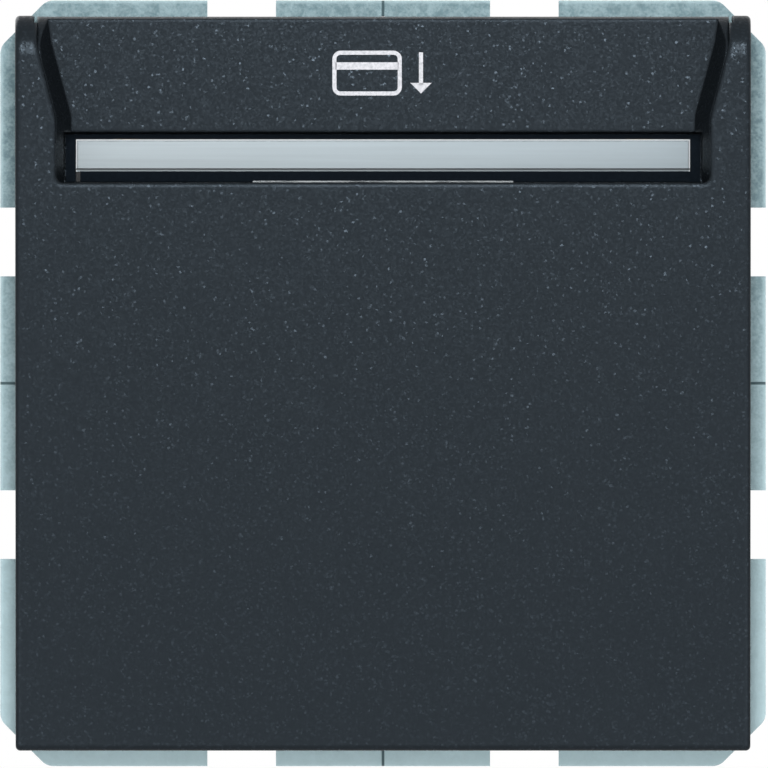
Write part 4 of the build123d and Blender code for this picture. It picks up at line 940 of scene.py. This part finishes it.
class KEYCARD_OT_insert(bpy.types.Operator):
    """Dresses the insert's front and housing, and prints the terminal numbers on its back"""

    bl_idname = "keycard.insert"
    bl_label = "Insert"

    def execute(self, context):
        sizes, colours = context.scene.switch_sizes, context.scene.switch_colours
        # Glass-filled polyamide, moulded: mid grey and matt, as fibres and grain break the shine
        grey = moulded("grey_polyamide", colours.housing, roughness=0.55, Specular_IOR_Level=0.25)
        dress(grey, "insert_front", "insert_housing")
        # Black ink, pad-printed: nearly black, with the fine grain of the plastic under it
        dark = moulded("black_print", linear("1c1e20"), roughness=0.5)
        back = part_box("insert_housing")[1][1]
        for number in range(1, 5):
            low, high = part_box(f"terminal_cage_{number}")
            middle = (np.array(low) + np.array(high)) / 2
            text = bpy.data.curves.new(f"number_{number}", "FONT")
            text.body = str(number)
            text.size = sizes.digit_height
            text.extrude = NUMBER_HALF_THICK
            text.align_x, text.align_y = "CENTER", "CENTER"
            holder = bpy.data.objects.new("number", text)
            mesh = bpy.data.meshes.new_from_object(holder)
            bpy.data.objects.remove(holder)
            points = np.empty(len(mesh.vertices) * 3)
            mesh.vertices.foreach_get("co", points)
            points = points.reshape(-1, 3)
            inward = -math.copysign(1, middle[2])
            depth = back + NUMBER_PROUD - NUMBER_HALF_THICK
            place = np.array([middle[0], depth, middle[2] + inward * NUMBER_PLACE])
            turned = points @ np.array([(-1, 0, 0), (0, 0, 1), (0, 1, 0)]) + place
            mesh.vertices.foreach_set("co", turned.reshape(-1))
            mesh.update()
            weld(mesh)
            finish_piece(f"number_{number}", mesh, dark, "insert")
        return {"FINISHED"}


class KEYCARD_OT_claws(bpy.types.Operator):
    """Plates the claws and the plain screws, and makes the claws' threaded, slotted screws"""

    bl_idname = "keycard.claws"
    bl_label = "Claws and screws"

    def execute(self, context):
        sizes = context.scene.switch_sizes
        # Pressed steel and screws, zinc-plated in a drum and passivated clear: paler than the
        # ring, with a soft shine
        plated = zinc_plate("clear_passivated_zinc", linear("b9c3c6"), linear("949ea2"), roughness=0.38)
        dress(plated, "claw_left", "claw_right", "housing_screws", "cover_screws")
        for name in ("claw_screw_left", "claw_screw_right"):
            low, high = (np.array(corner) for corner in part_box(name))
            middle = (low + high) / 2
            head_radius = (high[0] - low[0]) / 2
            seat = low[1] + CLAW_HEAD_HEIGHT
            sheets = screw_sheets(
                head=(head_radius, CLAW_HEAD_HEIGHT, CLAW_HEAD_DOME),
                shank=(CLAW_SHANK_RADIUS, high[1] - seat - CLAW_TIP),
                thread=(sizes.thread_pitch, sizes.thread_depth),
                slot=(CLAW_SLOT_HALF, CLAW_SLOT_FLOOR),
                count=sizes.round_steps,
            )
            turned = placed(sheets, (middle[0], seat, middle[2]), (0, 0, 1), (0, -1, 0))
            made = name + "_threaded"
            make_piece(made, turned, plated, name, replaced=(name,), smooth=28.0)
        return {"FINISHED"}


class KEYCARD_OT_terminals(bpy.types.Operator):
    """Dresses the terminal screws, cages and bars"""

    bl_idname = "keycard.terminals"
    bl_label = "Terminals"

    def execute(self, context):
        # Steel, zinc-plated bright: the lightest and smoothest of the platings
        plated = zinc_plate("bright_zinc", linear("c2cacc"), linear("9fa8ab"), roughness=0.34)
        for number in range(1, 5):
            dress(plated, f"terminal_screw_{number}", f"terminal_cage_{number}")
        # Brass strip, cold-rolled and punched: yellow, with fine lines along it
        dress(rolled_metal("rolled_brass", linear("cfae66"), linear("b08f49")), "terminal_bars")
        return {"FINISHED"}


class KEYCARD_OT_works(bpy.types.Operator):
    """Dresses the plunger, the microswitch, the boards and everything on them"""

    bl_idname = "keycard.works"
    bl_label = "Works"

    def execute(self, context):
        colours = context.scene.switch_colours
        dress(board_laminate(colours), "circuit_board", "led_board")
        for name, colour, roughness, nodes in (
            # Natural acetal, moulded: milky white with a waxy shine
            ("white_acetal", "d8d8d2", 0.3, ("plunger",)),
            # Polyester, dyed and moulded: a plain red with a dull shine
            ("red_pbt", "a32a22", 0.4, ("microswitch_button",)),
            # Polyester with glass fibre, moulded: black and nearly matt
            ("black_pbt", "1b1d20", 0.45, ("microswitch_case", "relay_base")),
            # Epoxy pressed round the chips: charcoal with a dull shine
            ("epoxy_moulding", "202124", 0.4, ("bridge_rectifier", "controller_chip")),
            # Epoxy cast in a bright cup: pale with a hint of green, and glossy
            ("lamp_epoxy", "dfe6df", 0.2, ("orientation_leds",)),
            # Dyed polyester cap, moulded: strong blue with a clear shine
            ("blue_relay_cover", "2b5d8f", 0.3, ("relay_cover",)),
            # Plastic box sealed with resin: deep yellow with a dull shine
            ("yellow_capacitor_case", "c9a233", 0.4, ("film_capacitor",)),
            # Epoxy powder, melted on the disc: blue, smooth but not glossy
            ("varistor_lacquer", "2c5f9e", 0.35, ("varistor",)),
            # Fired ceramic tube: cream with a soft shine
            ("fuse_ceramic", "e2ded4", 0.3, ("fuse",)),
            # Vinyl sleeve, shrunk on the can: dark blue with a clear shine
            ("shrink_sleeve", "1d2a44", 0.3, ("smoothing_capacitor",)),
            # Lacquer, dipped and baked: beige, smooth but not glossy
            ("resistor_lacquer", "b59a6a", 0.35, ("resistors",)),
        ):
            dress(moulded(name, linear(colour), roughness=roughness), *nodes)
        # Brass strip, punched and tinned: almost white metal with a soft shine
        tinned = rolled_metal("tinned_brass", linear("cfd1cd"), linear("b5b5ac"), roughness=0.25)
        dress(tinned, "led_pins", "microswitch_terminals", "relay_contacts")
        # Spring steel wire, drawn hard: grey with fine lines
        wire = rolled_metal("spring_wire", linear("b0b4b6"), linear("8a8f92"), roughness=0.28)
        dress(wire, "plunger_spring")
        spring = flexing_copy("plunger_spring", wire, "insert")
        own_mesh(spring)
        # Soft iron, stamped and zinc-plated: light grey and duller than the screws
        iron = zinc_plate("plated_relay_iron", linear("c0c8ca"), linear("9ea7aa"))
        dress(iron, "relay_yoke", "relay_armature")
        # Copper wire, drawn and enamelled, wound close: reddish brown with a clear shine
        dress(rolled_metal("enamelled_copper", linear("b4713f"), linear("8f4f28")), "relay_coil")
        return {"FINISHED"}


class KEYCARD_OT_studio(bpy.types.Operator):
    """Sets the pale floor, the lamps, the world and the camera"""

    bl_idname = "keycard.studio"
    bl_label = "Studio"

    def execute(self, context):
        scene = context.scene
        scene.view_settings.view_transform = "Standard"
        world = bpy.data.worlds.new("studio")
        world.use_nodes = True
        sky = world.node_tree.nodes["Background"]
        sky.inputs["Color"].default_value = (1, 1, 1, 1)
        strength = add_node(
            world.node_tree,
            "ShaderNodeMapRange",
            {0: seen_directly(world.node_tree), "To Min": WORLD_LIGHT, "To Max": 1.0},
        ).outputs[0]
        world.node_tree.links.new(strength, sky.inputs["Strength"])
        scene.world = world

        # Pale painted board: matt, and lifted to near white where it is seen directly
        paint = linear("e9e9ea")
        floor_material, tree, shader, place = start_material(
            "painted_board", Base_Color=paint, Roughness=0.8
        )
        glow = add_node(tree, "ShaderNodeEmission", {"Color": (1, 1, 1, 1), "Strength": 1.0})
        lift = add_node(
            tree, "ShaderNodeMapRange", {0: seen_directly(tree), "To Max": FLOOR_LIFT}
        ).outputs[0]
        mixed = add_node(
            tree, "ShaderNodeMixShader", {0: lift, 1: shader.outputs[0], 2: glow.outputs[0]}
        )
        tree.links.new(mixed.outputs[0], tree.nodes["Material Output"].inputs["Surface"])
        signs = ((-1, -1), (1, -1), (1, 1), (-1, 1))
        corners = [(x * FLOOR_REACH, y * FLOOR_REACH, FLOOR_HEIGHT) for x, y in signs]
        mesh = bpy.data.meshes.new("floor")
        mesh.from_pydata(corners, [], [(0, 1, 2, 3)])
        mesh.materials.append(floor_material)
        floor = bpy.data.objects.new("floor", mesh)
        scene.collection.objects.link(floor)

        for name, place, size, power in LAMPS:
            lamp = bpy.data.lights.new(name, "AREA")
            lamp.shape, lamp.size, lamp.energy = "DISK", size, power
            holder = bpy.data.objects.new(name, lamp)
            holder.location = place
            holder.rotation_euler = (-Vector(place)).to_track_quat("-Z", "Y").to_euler()
            holder.visible_camera = False
            scene.collection.objects.link(holder)

        camera = bpy.data.cameras.new("front_camera")
        camera.lens, camera.sensor_width = LENS, SENSOR
        camera.clip_start, camera.clip_end = 0.1, 20.0
        distance = LENS * VIEW_WIDTH / SENSOR
        holder = bpy.data.objects.new("front_camera", camera)
        holder.location = (VIEW_MIDDLE[0], -distance, VIEW_MIDDLE[1])
        holder.rotation_euler = (math.radians(90), 0, 0)
        scene.collection.objects.link(holder)
        scene.camera = holder
        return {"FINISHED"}


PIECES = (
    KEYCARD_OT_studio,
    KEYCARD_OT_lacquer,
    KEYCARD_OT_light_bar,
    KEYCARD_OT_sign,
    KEYCARD_OT_lever,
    KEYCARD_OT_ring,
    KEYCARD_OT_insert,
    KEYCARD_OT_claws,
    KEYCARD_OT_terminals,
    KEYCARD_OT_works,
)


class KEYCARD_PT_panel(bpy.types.Panel):
    """Lists the pieces of the key card switch"""

    bl_label = "Key card switch"
    bl_idname = "KEYCARD_PT_panel"
    bl_space_type = "VIEW_3D"
    bl_region_type = "UI"
    bl_category = "Key card switch"

    def draw(self, context):
        for group in (context.scene.switch_colours, context.scene.switch_sizes):
            column = self.layout.column()
            for name in group.__annotations__:
                column.prop(group, name)
        for operator in PIECES:
            self.layout.operator(operator.bl_idname)


CLASSES = (SwitchColours, SwitchSizes, *PIECES, KEYCARD_PT_panel)


def register():
    """Registers the classes and gives the scene its settings."""
    for kind in CLASSES:
        bpy.utils.register_class(kind)
    bpy.types.Scene.switch_colours = PointerProperty(type=SwitchColours)
    bpy.types.Scene.switch_sizes = PointerProperty(type=SwitchSizes)


def unregister():
    """Takes the settings and the classes away again."""
    del bpy.types.Scene.switch_sizes
    del bpy.types.Scene.switch_colours
    for kind in reversed(CLASSES):
        bpy.utils.unregister_class(kind)


def main():
    """Makes every piece in order."""
    register()
    for operator in PIECES:
        group, name = operator.bl_idname.split(".")
        getattr(getattr(bpy.ops, group), name)()
    bpy.context.view_layer.update()


if __name__ == "__main__":
    main()
